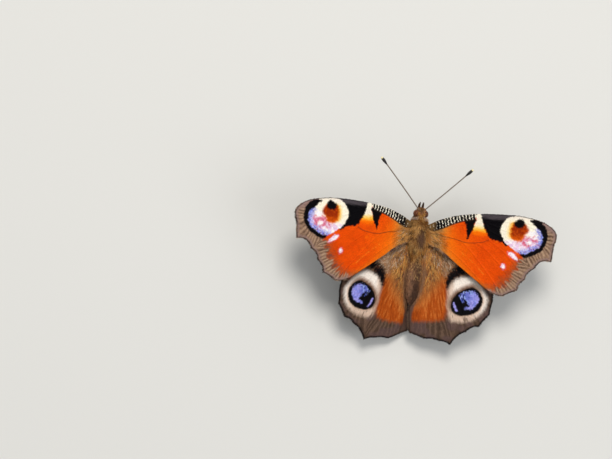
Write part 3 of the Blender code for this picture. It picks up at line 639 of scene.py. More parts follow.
def fore_eyespot(plan, grain, streak, seed):
    """Inside the forewing's eyespot: cream and yellow at the front, a dark heart, rose, white and blue."""
    x, y = plan.T
    fine = mottle(plan, 8, seed + 14)
    ray = noise(np.hypot(x - 19.5, y - 2.5) * 0.7, np.arctan2(y - 2.5, x - 19.5) * 7.0, seed + 13)
    spot = lay(CREAM, (CREAM_DULL * 0.92, ease(5.0, 5.8, y) * 0.6))
    heart = shape_gap(plan, FORE_MAROON)
    left = ease(0.4, 1.3, y) * ease(5.2, 4.2, y) * ease(20.4, 19.0, x)
    spot = lay(
        spot,
        (BUTTER, ease(1.15, 0.4, heart + 0.15 * grain) * left * 0.85),
        (YELLOW, ease(0.65, 0.2, heart + 0.15 * grain) * left * 0.75),
    )
    lower = ease(1.0, -0.3, y - 0.25 * (x - 17.5) + 0.25 * grain)
    spot = lay(spot, (WHITE, lower), (PINK, lower * ease(-0.2, 0.4, ray + 0.6 * grain) * 0.9))
    rosy = ease(1.9, 0.8, np.hypot((x - 21.7) * 0.8, y - 0.3) + 0.35 * grain)
    spot = lay(
        spot,
        (PINK, rosy),
        (ROSE, rosy * ease(-0.35, 0.25, ray + 0.3 * streak + 0.4 * fine) * 0.85),
    )
    threads = noise((x + y) * 1.1, (x - y) * 4.2, seed + 19)
    spread = ease(2.4, 1.2, np.hypot((x - 21.6) * 0.7, y - 0.9))
    spot = lay(spot, (ROSE, spread * ease(0.1, 0.4, threads + 0.3 * fine) * 0.85))
    for centre_x, centre_y, size in ((22.4, 2.4, 0.7), (22.0, 0.4, 0.45), (21.0, -0.7, 0.3)):
        glint = ease(size + 0.25, size - 0.25, np.hypot((x - centre_x) * 0.85, y - centre_y) + 0.25 * grain)
        spot = lay(spot, (WHITE, glint * 0.95))
    edge = distance_to(plan, curve_through(CRESCENT_INNER, 5))
    away = edge + 0.3 * grain + 0.45 * fine
    band = ease(4.2, 3.5, y)
    spot = lay(
        spot,
        (LILAC, ease(1.5, 0.5, away) * band),
        (BLUE, ease(0.9, 0.1, away) * band * 0.85),
        (BLUE_DEEP, ease(0.1, 0.45, fine) * ease(1.3, 0.5, edge) * band * 0.8),
        (ROSE * 0.6, ease(0.0, 0.5, fine + 0.5 * ray) * ease(1.4, 0.6, edge) * ease(0.8, -0.4, y) * 0.7),
        (BLACK, ease(0.25, 0.5, fine - 0.5 * edge) * ease(0.7, 0.2, edge) * band * 0.8),
    )
    flecks = ease(0.15, 0.5, mottle(plan, 5.2, seed + 15))
    spot = lay(
        spot,
        (SKY, flecks * ease(1.9, 0.9, edge) * band * 0.6),
        (WHITE, ease(0.3, 0.6, mottle(plan, 6.5, seed + 16)) * ease(2.2, 1.2, edge) * band * 0.45),
    )
    rust = lay(
        MAROON,
        (MAROON_PALE, ease(2.4, 0.9, y + 0.4 * grain)),
        (MAROON_PALE, ease(0.1, 0.6, mottle(plan, 2.4, seed + 17)) * 0.5),
    )
    halo = ease(0.35, -0.1, heart + 0.15 * grain)
    return lay(
        spot,
        (AMBER, halo * ease(22.0, 20.5, x) * 0.95),
        (rust, ease(0.2, -0.34, heart + 0.18 * grain + 0.12 * fine)),
        (BLACK, patch(plan, FORE_PUPIL, 0.2, 0.14, seed + 18, 0.08)),
    )


def margin_brown(plan, walk, edge_gap, seed, shades, strength):
    """The outer margin: brown, crossed square to the edge by pale and dark rays of uneven width."""
    middle, pale, dark = shades
    inward = -edge_gap(plan)
    grain = mottle(plan, GRAIN, seed)
    wander = 0.5 * noise(walk * 0.45, inward * 0.3, seed + 1)
    wander += 0.12 * noise(walk * 2.0, inward * 2.5, seed + 2)
    rays = np.cos(2 * np.pi * (walk / 0.62 + wander)) + 0.7 * noise(walk * 1.9, inward * 0.7, seed + 3)
    return lay(
        middle,
        (pale, ease(0.1, -1.0, rays) * (0.35 + 0.65 * ease(0.3, 1.1, inward)) * 0.9),
        (dark, ease(0.6, 1.15, rays + 0.25 * grain) * strength),
        (dark, ease(0.5, 0.1, inward + 0.2 * grain) * 0.45),
    )


def clumps(plan, centre, seed):
    """Where hairs lie in pale clumps, and not in dark ones: long narrow patches along the fan."""
    reach, turn = fan(plan, centre)
    return noise(reach * 1.9, turn * 62, seed) + 0.6 * noise(reach * 3.3, turn * 120, seed + 1)


def folded(plan, rough):
    """How far each place lies in the brown fold beside the abdomen, inside FOLD_LINE."""
    behind, reach = np.transpose(FOLD_LINE)
    x, y = plan.T
    return ease(0.25, -0.25, x - np.interp(-y, behind, reach) + rough) * ease(-3.5, -6.0, y)


def paint_hindwing(plan, seed, edge_gap):
    """The hindwing's upper side: rust field, black-ringed blue eyespot on cream, dark margin."""
    x, y = plan.T
    reach, turn = fan(plan, HIND_FAN)
    streak = noise(reach * 0.45, turn * 60, seed) * 0.55 + noise(reach * 1.3, turn * 130, seed + 1) * 0.45
    grain = mottle(plan, GRAIN, seed + 2)
    fine = mottle(plan, 9, seed + 4)
    colour = lay(
        RUST,
        (RUST_DEEP, ease(-0.1, 0.6, streak) * 0.7),
        (RUST_PALE, ease(-0.05, -0.6, streak) * 0.8),
    )
    furred = shape_gap(plan, HIND_HAIR_REGION) + 0.9 * streak
    colour = lay(
        colour,
        (TAWNY, ease(2.8, -1.0, furred) * 0.85),
        (SEPIA, ease(0.3, -0.6, furred) * ease(0.1, -0.4, clumps(plan, HIND_FAN, CLUMP_SEED)) * 0.5),
    )
    base = patch(plan, HIND_BASE, 0.9, 0.5, seed + 3)
    colour = lay(
        colour,
        (GREY_BROWN, base * 0.9),
        (GREY_BROWN, ease(7.2, 8.8, x) * ease(-8.4, -6.4, y)),
        (SILVER, base * ease(0.15, 0.6, fine + 0.4 * grain) * 0.6),
    )

    margin_gap = shape_gap(plan, HIND_MARGIN, 5) + 0.5 * streak
    walk = walk_along(plan, curve_through(HIND_MARGIN_LINE, 5))
    brown = margin_brown(plan, walk * 0.7, edge_gap, seed + 22, (UMBER, UMBER_PALE, SEPIA_DARK), 0.35)
    brown = lay(brown, (UMBER_VIOLET, ease(-0.3, 0.5, mottle(plan, 0.8, seed + 24)) * 0.6))
    colour = lay(colour, (brown, ease(0.65, -0.65, margin_gap)))
    fold = lay(FOLD, (SEPIA, ease(-9.0, -12.5, y + 2.0 * streak)))
    colour = lay(
        colour,
        (fold, folded(plan, 0.3 * streak) * 0.95),
        (SEPIA_DARK, ease(0.5, 0.1, -edge_gap(plan)) * ease(0.5, -0.5, x) * 0.8),
    )

    ring_gap = shape_gap(plan, HIND_RING) + 0.15 * streak - 0.25 * ease(8.5, 7.0, x)
    ring = ease(0.65, -0.65, ring_gap + 0.1 * grain)
    dot = shape_gap(plan, HIND_EYE)
    pale = lay(
        CREAM_DULL,
        (TAN, ease(-12.4, -15.6, y + 0.7 * streak) * 0.85),
        (TAN, ease(7.6, 6.4, x + 0.3 * streak) * 0.7),
        (UMBER_PALE, ease(0.1, 0.6, streak) * ease(-13.2, -15.2, y) * 0.75),
    )
    outside = ease(-1.5, 1.5, (x - 10.6) * 0.8 - (y + 11.0) * 0.9)
    colour = lay(
        colour,
        (brown, ease(1.3, 0.6, ring_gap) * outside),
        (UMBER_PALE, ease(0.9, 0.2, ring_gap) * (1 - outside) * (0.35 + 0.6 * ease(-10.0, -8.0, y))),
        (pale, ring),
    )
    upper_left = ease(-2.5, 3.5, (y + 11.5) - 0.9 * (x - 10.3))
    colour = lay(
        colour,
        (TAN, ease(0.7 + 0.8 * upper_left, 0.2, dot + 0.2 * streak) * 0.75),
        (HALO, ease(0.3 + 1.0 * upper_left, 0.05, dot + 0.2 * streak) * (0.25 + 0.7 * upper_left)),
    )
    bar = patch(plan, HIND_BAR, 0.55, 0.28, seed + 10, 0.3 * ease(-8.5, -6.0, y))
    colour = lay(
        colour,
        (BLACK, bar * (1 - 0.4 * ease(0.2, 0.7, streak + 0.4 * fine) * ease(-6.5, -4.5, y))),
        (BLACK, ease(0.26, -0.02, dot + 0.08 * grain)),
    )
    cloudy = mottle(plan, 1.5, seed + 12) + 0.5 * grain
    blue = lay(LILAC, (BLUE, ease(-0.4, 0.5, cloudy) * 0.6))
    inner = ease(11.4, 9.8, x - 0.25 * (y + 11) + 0.4 * grain)
    blue = lay(blue, (BLUE, inner * 0.7), (BLUE_DEEP, inner * 0.35))
    ripple = noise(x * 3.4 + y, y * 2.0, seed + 16)
    blue = lay(
        blue,
        (BLUE_DEEP, ease(-0.1, 0.55, ripple + 0.3 * fine) * (0.25 + 0.75 * inner)),
        (SKY, ease(0.15, 0.5, mottle(plan, 3.2, seed + 13)) * (0.25 + 0.5 * inner)),
    )
    torn = ease(10.4, 9.2, x + 0.2 * (y + 11)) * ease(-0.25, 0.2, noise(x * 4.5 + y, y * 1.2, seed + 17))
    speckled = 0.35 * fine * ease(-10.5, -9.5, y)
    blue_gap = shape_gap(plan, HIND_BLUE) + 0.18 * grain + speckled
    colour = lay(colour, (blue, ease(0.14, -0.14, blue_gap) * (1 - 0.85 * torn)))
    for line, width in HIND_FLECKS:
        colour = lay(colour, (blue, stroke(plan, line, width, 0.09) * ease(0.7, -0.1, grain)))
    return lay(
        colour,
        (LILAC, patch(plan, HIND_SICKLE, 0.12, 0.12, seed + 18) * 0.95),
        (BLACK, ease(-0.30, -0.14, edge_gap(plan)) * ease(-3.0, -8.0, y - 0.9 * x + 14) * 0.9),
    )


def paint_under(plan, seed):
    """The underside of either wing: near black, crossed by fine wavy lines, paler towards the edge."""
    x, y = plan.T
    reach = np.hypot(x, y)
    waves = np.sin(reach * 7.0 + 2.5 * mottle(plan, 0.7, seed) + 1.2 * mottle(plan, 2, seed + 1))
    return lay(
        UNDER_DARK,
        (UNDER_PALE, ease(0.2, 0.95, waves) * 0.55),
        (UNDER_PALE, ease(15.0, 22.0, reach + 1.5 * noise(x, y, seed + 2)) * 0.45),
        (BLACK, ease(0.2, 0.8, mottle(plan, 1.1, seed + 3)) * 0.4),
    )


def fore_surface(plan):
    """The forewing's middle height: half a sine wave from root to tip, less a curl towards its edges."""
    span = np.clip(plan[:, 0] / FORE_SPAN, 0, 1)
    return FORE_ARCH * np.sin(np.pi * span) - FORE_CURL * (plan[:, 1] - FORE_CREST) ** 2 * span


def hind_surface(plan):
    """The hindwing's middle height: half a sine wave from root to edge, less a gutter at the abdomen."""
    back = np.clip(-plan[:, 1] / HIND_DEPTH, 0, 1)
    gutter = GUTTER_DEPTH * np.exp(np.minimum(GUTTER_LINE - plan[:, 0], 0) / GUTTER_WIDTH)
    return HIND_ARCH * np.sin(np.pi * back) - gutter * back


def left_of(ways):
    """Ways in the plan, turned a quarter to the left."""
    return np.column_stack([-ways[:, 1], ways[:, 0]])


def wing_outline(costa, teeth, inner):
    """The closed edge of a wing, its outer stretch that carries the fringe, and its inner stretch."""
    front = curve_through([*costa, teeth[0][0]], 16)
    outer = []
    for (start, _), (end, hollow) in zip(teeth, teeth[1:]):
        start, end = np.array(start), np.array(end)
        along = end - start
        length = np.linalg.norm(along)
        inward = np.array([along[1], -along[0]]) / length
        share = np.linspace(0, 1, max(4, round(length / EDGE_STEP)) + 1)[1:, None]
        outer.append(start + along * share + inward * hollow * 4 * share * (1 - share))
    outer = np.vstack(outer)
    rear = curve_through([teeth[-1][0], *inner], 10)[1:]
    edge = np.vstack([front, outer, rear])
    fringed = edge[round(FRINGE_START * len(front)) : len(front) + len(outer)]
    return edge, fringed, rear


class Wing:
    """One kind of wing: its plan, veins, fan of scales and middle surface."""

    def __init__(self, costa, teeth, inner, veins, surface, centre, paint):
        self.edge, self.fringed, self.rear = wing_outline(costa, teeth, inner)
        self.veins = [curve_through(route, 8) for route in veins.values()]
        self.surface = surface
        self.centre = np.array(centre)
        self.paint = paint
        low, high = self.edge.min(axis=0), self.edge.max(axis=0)
        self.low, self.size = low, (high - low).max()
        self.vein_gap = Lookup(self.distance_to_veins, low, high, LOOKUP_STEP)
        self.edge_gap = Lookup(lambda p: distance_to(p, self.edge, closed=True), low, high, LOOKUP_STEP)

    def distance_to_veins(self, points):
        """Distance from each point to the nearest vein."""
        return np.min([distance_to(points, vein) for vein in self.veins], axis=0)

    def half(self, plan):
        """Half the wing's thickness: a thin membrane, with each vein a rounded ridge on both faces."""
        return MEMBRANE_HALF + VEIN_RISE * np.exp(-((self.vein_gap(plan) / VEIN_SPREAD) ** 2))

    def raised(self, plan, lift, face):
        """Points over the plan, lift above the upper face or below the lower one."""
        height = self.surface(plan) + face * (self.half(plan) + lift)
        return np.column_stack([plan, height])

    def unwrap(self, plan):
        """The plan as a map from 0 to 1, with a border."""
        return MAP_BORDER + MAP_SIZE * (plan - self.low) / self.size


def wing_matrix(root, pose, side):
    """Carries a wing from its flat plan to the body frame, as in the solids."""
    raised, swept, pitched = pose[side]
    made = (
        Matrix.Translation(root[side])
        @ Matrix.Rotation(math.radians(-raised), 4, "Y")
        @ Matrix.Rotation(math.radians(pitched), 4, "X")
        @ Matrix.Rotation(math.radians(swept), 4, "Z")
    )
    if side == "left":
        made = Matrix.Scale(-1, 4, (1, 0, 0)) @ made
    return np.array(made)


def carried(points, matrix):
    """Points turned and moved by a matrix of four rows."""
    return points @ matrix[:3, :3].T + matrix[:3, 3]


def dense_sections():
    """The body's sections from the head to the abdomen's tip, smooth through all of them."""
    widths = values_through(ABDOMEN_HALF_WIDTHS, 6)
    share = np.linspace(0, 1, len(widths))
    middle = -ABDOMEN_DROOP * share**2
    y = ABDOMEN_FRONT - ABDOMEN_LENGTH * share
    abdomen = np.column_stack([y, widths, widths, ABDOMEN_DEPTH * widths, middle])
    front = curve_through([*HEAD_SECTIONS, *NECK_SECTIONS, *THORAX_SECTIONS], 6)
    return np.vstack([front, abdomen])


SECTIONS = dense_sections()
NOSE_Y = SECTIONS[0, 0] + 0.05
TAIL_Y = SECTIONS[-1, 0] - 0.25


def body_section(y):
    """Half width, height above, height below and middle height of the skin at each place along it."""
    order = SECTIONS[::-1]
    width, up, down, middle = (np.interp(y, order[:, 0], order[:, k]) for k in (1, 2, 3, 4))
    depth = COAT_DEPTH * ease(5.2, 3.4, y) * (0.7 + 0.3 * ease(-5.5, -4.0, y)) + 0.06
    segment = (ABDOMEN_FRONT - y) / ABDOMEN_LENGTH * (len(ABDOMEN_HALF_WIDTHS) - 1)
    groove = SEGMENT_GROOVE * np.exp(-(((segment - np.round(segment)) / 0.12) ** 2)) * (segment > 0.5)
    closing = np.clip((NOSE_Y - y) / NOSE_ROUNDING, 0, 1) * np.clip((y - TAIL_Y) / TAIL_ROUNDING, 0, 1)
    shrunk = np.maximum(np.array([width, up, down]) - depth - groove, 0.12) * np.sqrt(closing)
    return (*shrunk, middle)


def body_point(y, angle, lift=0.0):
    """Places on the skin, and the way out from it: the section at y is two half ellipses."""
    width, up, down, middle = body_section(y)
    height = np.where(np.cos(angle) > 0, up, down)
    outward = unit(np.column_stack([np.sin(angle) * height, np.zeros_like(y), np.cos(angle) * width]))
    place = np.column_stack([width * np.sin(angle), y, middle + height * np.cos(angle)])
    return place + outward * lift, outward


def row_frame_origin():
    """Where the solids' own floor origin lies in the row frame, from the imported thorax's box."""
    angles = np.linspace(0, 2 * np.pi, 24, endpoint=False)
    rings = []
    for y, width, up, down, middle in THORAX_SECTIONS:
        height = np.where(np.cos(angles) > 0, up, down)
        ring = [width * np.sin(angles), np.full(24, y), middle + height * np.cos(angles)]
        rings.append(np.array(ring).T)
    turned = carried(np.vstack(rings), BODY_TO_FLOOR)
    low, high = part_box("thorax")
    centre = (np.array(low) + np.array(high)) / 2 / MM
    return centre - (turned.min(axis=0) + turned.max(axis=0)) / 2


BODY_TO_FLOOR = np.array(
    Matrix.Translation((0, 0, THORAX_HEIGHT)) @ Matrix.Rotation(math.radians(BODY_PITCH), 4, "X")
)
FLOOR_ORIGIN = row_frame_origin()


def to_row(points):
    """Body millimetres to row-frame metres."""
    return (carried(points, BODY_TO_FLOOR) + FLOOR_ORIGIN) * MM


def floor_to_body(points):
    """Millimetres over the solids' floor to body millimetres."""
    return carried(np.atleast_2d(points), np.linalg.inv(BODY_TO_FLOOR))


def new_piece(name, points, faces, finish, tint=None, bake=None, smooth=True):
    """A mesh in the row frame from body millimetres, with its tint and its unwrap where it has them."""
    mesh = bpy.data.meshes.new(name)
    faces = np.asarray(faces, np.int32)
    corners = faces.shape[1]
    mesh.vertices.add(len(points))
    mesh.vertices.foreach_set("co", to_row(points).astype(np.float32).ravel())
    mesh.loops.add(faces.size)
    mesh.loops.foreach_set("vertex_index", faces.ravel())
    mesh.polygons.add(len(faces))
    mesh.polygons.foreach_set("loop_start", np.arange(0, faces.size, corners, dtype=np.int32))
    mesh.update(calc_edges=True)
    if tint is not None:
        stored = mesh.color_attributes.new("tint", "FLOAT_COLOR", "POINT")
        stored.data.foreach_set("color", np.column_stack([tint, np.ones(len(tint))]).ravel())
    if bake is not None:
        layer = mesh.uv_layers.new(name="OFBake")
        layer.data.foreach_set("uv", bake[faces.ravel()].astype(np.float32).ravel())
    mesh.validate()
    if smooth:
        mesh.shade_smooth()
    mesh.materials.append(finish)
    piece = bpy.data.objects.new(name, mesh)
    bpy.context.scene.collection.objects.link(piece)
    return piece


def grid_faces(rings, sides):
    """Four-sided faces between rings of points that wrap round."""
    i, j = np.meshgrid(np.arange(rings - 1), np.arange(sides), indexing="ij")
    a, b = i * sides + j, i * sides + (j + 1) % sides
    return np.stack([a, b, b + sides, a + sides], -1).reshape(-1, 4)


class Tube:
    """A round limb along a route: rings square to it, each turned no more than it has to be."""

    def __init__(self, route, radii):
        self.route = np.array(route, float)
        self.radii = np.array(radii, float)
        along = np.gradient(self.route, axis=0)
        self.along = along / np.linalg.norm(along, axis=1)[:, None]
        across = np.cross(self.along[0], (0.0, 0.3, 1.0))
        rows = []
        for step in self.along:
            across = across - step * (across @ step)
            across = across / np.linalg.norm(across)
            rows.append(across)
        self.across = np.array(rows)
        self.upward = np.cross(self.across, self.along)

    def at(self, share, angle, lift=0.0):
        """Places at a share of the length and an angle round it, with the ways out and along."""
        ring = share * (len(self.route) - 1)
        low = np.clip(np.floor(ring).astype(int), 0, len(self.route) - 2)
        part = (ring - low)[:, None]

        def between(values):
            """One value for each place, mixed from the rings before and after it."""
            return values[low] * (1 - part) + values[low + 1] * part

        outward = np.cos(angle)[:, None] * between(self.across)
        outward += np.sin(angle)[:, None] * between(self.upward)
        radius = between(self.radii[:, None]) + lift
        return between(self.route) + outward * radius, outward, between(self.along)

    def skin(self, sides):
        """Points and faces of the closed tube, its two ends drawn in to a point."""
        rings = len(self.route)
        angle = np.tile(np.linspace(0, 2 * np.pi, sides, endpoint=False), rings)
        share = np.repeat(np.linspace(0, 1, rings), sides)
        points = self.at(share, angle)[0]
        points[:sides] = self.route[0]
        points[-sides:] = self.route[-1]
        return points, grid_faces(rings, sides)


def hairs(roots, along, outward, length, width, rise, droop, rng):
    """Tapered blades, each of a root edge, a middle edge and a tip, leaning off the surface.

    A blade's middle stands rise times half its length off the surface, and its tip rise less droop
    times its whole length. Its broad side is turned a little at random.
    """
    count = len(roots)
    length, width, rise, droop = (np.reshape(value, (-1, 1)) for value in (length, width, rise, droop))
    side = unit(np.cross(along, outward))
    roll = rng.normal(0, 0.5, count)[:, None]
    side = side * np.cos(roll) + outward * np.sin(roll)
    sway = rng.normal(0, 0.10, count)[:, None] * side * length
    middle = roots + along * length * 0.5 + outward * (rise * length * 0.5) + sway * 0.4
    tip = roots + along * length + outward * ((rise - droop) * length) + sway
    root_half, middle_half = side * width * 0.5, side * width * 0.42
    rows = [roots - root_half, roots + root_half, middle - middle_half, middle + middle_half, tip]
    first = np.arange(count)[:, None] * 5
    faces = np.vstack([first + np.array(corners) for corners in BLADE_FACES])
    return np.stack(rows, axis=1).reshape(-1, 3), faces


BLADE_FACES = ((0, 1, 3), (0, 3, 2), (2, 3, 4))
BLADE_PATCH = np.array([(0.0, 0.0), (1.0, 0.0), (0.1, 0.5), (0.9, 0.5), (0.5, 1.0)])
PATCH_SIZE = 0.003


def blade_map(root_map):
    """Each blade's own small patch of the unwrap, at its root's place on it."""
    return (root_map[:, None] + (BLADE_PATCH - 0.5) * PATCH_SIZE).reshape(-1, 2)


def blade_tint(colour, rng, root, tip, vary):
    """Each blade's colour, varied from one to the next, with painted shade at its root and painted light at
    its tip.
    """
    varied = colour * (1 + rng.normal(0, vary, len(colour)))[:, None]
    # root and tip scale the colour: painted shade among the crowded roots, painted light towards the tips.
    shade = np.array([root, root, (root + tip) / 2, (root + tip) / 2, tip])
    return np.clip(varied[:, None] * shade[None, :, None], 0, 1).reshape(-1, 3)


# Materials.


def node(tree, kind, **values):
    """A shader node, with each value set on the node or, where it has no such property, on that socket."""
    made = tree.nodes.new(kind)
    for key, value in values.items():
        if hasattr(made, key):
            setattr(made, key, value)
        else:
            made.inputs[key.replace("_", " ").title()].default_value = value
    return made


def new_finish(name):
    """A new material, with its node tree and its shader."""
    made = bpy.data.materials.new(name)
    made.use_nodes = True
    return made, made.node_tree, made.node_tree.nodes["Principled BSDF"]


def relief(tree, shader, height, strength, depth, sunk=False):
    """Raises a finish by depth millimetres where height is 1, or sinks it there."""
    bump = node(tree, "ShaderNodeBump")
    bump.invert = sunk
    bump.inputs["Strength"].default_value = strength
    bump.inputs["Distance"].default_value = depth * MM
    tree.links.new(height, bump.inputs["Height"])
    tree.links.new(bump.outputs["Normal"], shader.inputs["Normal"])


def tinted(name, roughness, specular, grain_size, grain_depth, vary=0.12):
    """A finish whose colour is the piece's own tint, with fine grain in its colour and its relief.

    grain_size and grain_depth are in millimetres. The grain is noise on Object coordinates.
    """
    made, tree, shader = new_finish(name)
    link = tree.links.new
    shader.inputs["Roughness"].default_value = roughness
    shader.inputs["Specular IOR Level"].default_value = specular
    place = node(tree, "ShaderNodeTexCoord").outputs["Object"]
    tint = node(tree, "ShaderNodeAttribute", attribute_name="tint").outputs["Color"]
    grain = node(tree, "ShaderNodeTexNoise", scale=1000 / grain_size, detail=3.0)
    link(place, grain.inputs["Vector"])
    level = node(tree, "ShaderNodeMapRange")
    level.inputs["From Min"].default_value = 0.3
    level.inputs["From Max"].default_value = 0.7
    level.inputs["To Min"].default_value = 1 - vary
    level.inputs["To Max"].default_value = 1 + vary
    link(grain.outputs["Fac"], level.inputs["Value"])
    varied = node(tree, "ShaderNodeVectorMath", operation="MULTIPLY")
    link(tint, varied.inputs[0])
    link(level.outputs["Result"], varied.inputs[1])
    link(varied.outputs["Vector"], shader.inputs["Base Color"])
    relief(tree, shader, grain.outputs["Fac"], 0.7, grain_depth)
    return made


EYE_DARK = linear(46, 23, 12)
EYE_BROWN = linear(122, 68, 40)
FACET_SIZE = 0.075


def faceted_eye():
    """Dark brown, glossy, with a fine net of facets raised from cells on Object coordinates."""
    made, tree, shader = new_finish("eye_facets")
    link = tree.links.new
    shader.inputs["Roughness"].default_value = 0.32
    shader.inputs["Specular IOR Level"].default_value = 0.15
    shader.inputs["Coat Weight"].default_value = 0.05
    shader.inputs["Coat Roughness"].default_value = 0.2
    place = node(tree, "ShaderNodeTexCoord").outputs["Object"]
    cells = node(tree, "ShaderNodeTexVoronoi", scale=1000 / FACET_SIZE)
    link(place, cells.inputs["Vector"])
    clouds = node(tree, "ShaderNodeTexNoise", scale=1000 / 0.5, detail=2.0)
    link(place, clouds.inputs["Vector"])
    ramp = node(tree, "ShaderNodeValToRGB")
    stops = ((0.35, EYE_DARK), (0.68, EYE_BROWN))
    for stop, (position, colour) in zip(ramp.color_ramp.elements, stops):
        stop.position = position
        stop.color = (*colour, 1)
    link(clouds.outputs["Fac"], ramp.inputs["Fac"])
    link(ramp.outputs["Color"], shader.inputs["Base Color"])
    relief(tree, shader, cells.outputs["Distance"], 0.8, 0.02, sunk=True)
    return made


WING_MEMBRANE = tinted("wing_membrane", 0.7, 0.04, 0.18, 0.02)
WING_SCALES = tinted("wing_scales", 0.6, 0.05, 0.05, 0.01, vary=0.10)
BODY_SKIN = tinted("body_skin", 0.85, 0.08, 0.12, 0.05, vary=0.25)
FUR = tinted("golden_fur", 0.65, 0.12, 0.3, 0.01, vary=0.15)
CHITIN = tinted("dark_chitin", 0.38, 0.5, 0.06, 0.012, vary=0.2)
EYE = faceted_eye()


# Wings.


def membrane(wing, matrix, seed):
    """A thin closed plate over the wing's plan, its triangles alike on both faces."""
    low, high = wing.edge.min(axis=0), wing.edge.max(axis=0)
    across = np.arange(low[0], high[0], MEMBRANE_STEP)
    up = np.arange(low[1], high[1], MEMBRANE_ROW)
    grid = np.stack(np.meshgrid(across, up), -1)
    grid[1::2, :, 0] += MEMBRANE_STEP / 2
    grid = grid.reshape(-1, 2)
    veins = []
    for line in wing.veins:
        along = unit(np.gradient(line, axis=0))
        normal = left_of(along)
        veins += [line, line + normal * VEIN_SPREAD, line - normal * VEIN_SPREAD]
    veins = np.vstack(veins)
    veins = veins[wing.edge_gap(veins) < -VEIN_INSET]
    clear = (wing.edge_gap(grid) < -MEMBRANE_INSET) & (wing.vein_gap(grid) > 2 * VEIN_SPREAD)
    plan = np.vstack([wing.edge, grid[clear], veins])
    ring = [list(range(len(wing.edge)))]
    found, _, faces, *_ = delaunay_2d_cdt([Vector(p) for p in plan], [], ring, 1, 1e-3)
    flat = np.array([tuple(p) for p in found])
    faces = np.array([tuple(face) for face in faces])
    used, faces = np.unique(faces, return_inverse=True)
    flat, faces = flat[used], faces.reshape(-1, 3)
    count = len(flat)
    points = np.vstack([wing.raised(flat, 0.0, 1), wing.raised(flat, 0.0, -1)])
    ends = np.vstack([faces[:, [0, 1]], faces[:, [1, 2]], faces[:, [2, 0]]])
    key = ends[:, 0] * count + ends[:, 1]
    rim = ends[~np.isin(key, ends[:, 1] * count + ends[:, 0])]
    a, b = rim.T
    skin = np.vstack(
        [
            faces,
            faces[:, ::-1] + count,
            np.column_stack([b, a, a + count]),
            np.column_stack([b, a + count, b + count]),
        ]
    )
    tint = np.vstack([wing.paint(flat, seed, wing.edge_gap), paint_under(flat, seed + 50)])
    return carried(points, matrix), skin, tint


def scale_roots(wing, face, rng):
    """Roots of the scales in rows round the wing's fan point, each row set off from the last."""
    row, spread = SCALE_PITCH[face]
    reach, turn = fan(wing.edge, wing.centre)
    rows = np.arange(reach.min(), reach.max(), row)
    counts = np.ceil((turn.max() - turn.min()) * rows / spread).astype(int) + 1
    radius = np.repeat(rows, counts)
    place = np.arange(len(radius)) - np.repeat(np.cumsum(counts) - counts, counts)
    offset = np.repeat(rng.uniform(0, 1, len(rows)), counts)
    angle = turn.min() + (place + offset) * spread / radius
    radius = radius + rng.normal(0, 0.16 * row, len(radius))
    angle = angle + rng.normal(0, 0.12 * spread, len(radius)) / radius
    roots = wing.centre + radius[:, None] * np.column_stack([np.cos(angle), np.sin(angle)])
    return roots[wing.edge_gap(roots) < -SCALE_INSET]


# A scale from above, root first: across and along, in shares of its width and length, and how far
# each corner stands off the wing, in millimetres.
SCALE_CORNERS = np.array([(-0.22, 0.0), (0.22, 0.0), (-0.5, 0.5), (0.5, 0.5), (-0.34, 1.0), (0.34, 0.95)])
SCALE_LIFTS = np.array([0.012, 0.012, 0.046, 0.046, 0.062, 0.062])
SCALE_FACES = np.array([(0, 1, 3), (0, 3, 2), (2, 3, 5), (2, 5, 4)])
# Each corner's painted shade and light: the root darker, under the scale before it, and the tip a little
# lighter.
SCALE_PAINTED_SHADE = np.array([0.80, 0.80, 1.0, 1.0, 1.08, 1.08])


def scales(wing, matrix, face, seed):
    """Overlapping scales that lie like tiles along the fan, each tinted by its place on the wing."""
    rng = np.random.default_rng(seed)
    side = 1 if face == "upper" else -1
    roots = scale_roots(wing, face, rng)
    count = len(roots)
    row, spread = SCALE_PITCH[face]
    along = unit(roots - wing.centre)
    swing = rng.normal(0, SCALE_SWING, count)[:, None]
    along = unit(along + left_of(along) * swing)
    across = left_of(along)
    long = row * SCALE_LENGTH * rng.uniform(*SCALE_SIZES, count)[:, None, None]
    wide = spread * SCALE_WIDTH * rng.uniform(*SCALE_SIZES, count)[:, None, None]
    plan = (
        roots[:, None]
        + across[:, None] * SCALE_CORNERS[None, :, :1] * wide
        + along[:, None] * SCALE_CORNERS[None, :, 1:] * long
    )
    lifts = SCALE_LIFTS * rng.uniform(0.7, 1.4, count)[:, None]
    tilt = rng.normal(0, 0.006, count)[:, None] * np.sign(SCALE_CORNERS[:, 0])
    flat = plan.reshape(-1, 2)
    points = wing.raised(flat, (lifts + tilt + 0.004).ravel(), side)
    faces = (np.arange(count)[:, None, None] * 6 + SCALE_FACES).reshape(-1, 3)
    # The under face looks down and the left wing's matrix mirrors: either one turns the faces round.
    if (side < 0) != (matrix[0, 0] < 0):
        faces = faces[:, ::-1]
    middle = roots + along * row * 0.8
    colour = wing.paint(middle, seed, wing.edge_gap) if face == "upper" else paint_under(middle, seed)
    colour = colour * (1 + rng.normal(0, 0.07, count))[:, None]
    # Each scale's tint takes painted shade at its root and painted light at its tip.
    tint = np.clip(colour[:, None] * SCALE_PAINTED_SHADE[None, :, None], 0, 1).reshape(-1, 3)
    local = (SCALE_CORNERS * (0.8, 1.0) + (0.5, 0.0)) * PATCH_SIZE
    bake = (wing.unwrap(roots)[:, None] + local).reshape(-1, 2)
    return carried(points, matrix), faces, tint, bake


UPWARD = np.array((0.0, 0.0, 1.0))
FRINGE_WIDTH = 0.07
HAIR_WIDTH = (0.025, 0.045)
HAIR_RISE = (0.02, 0.14)


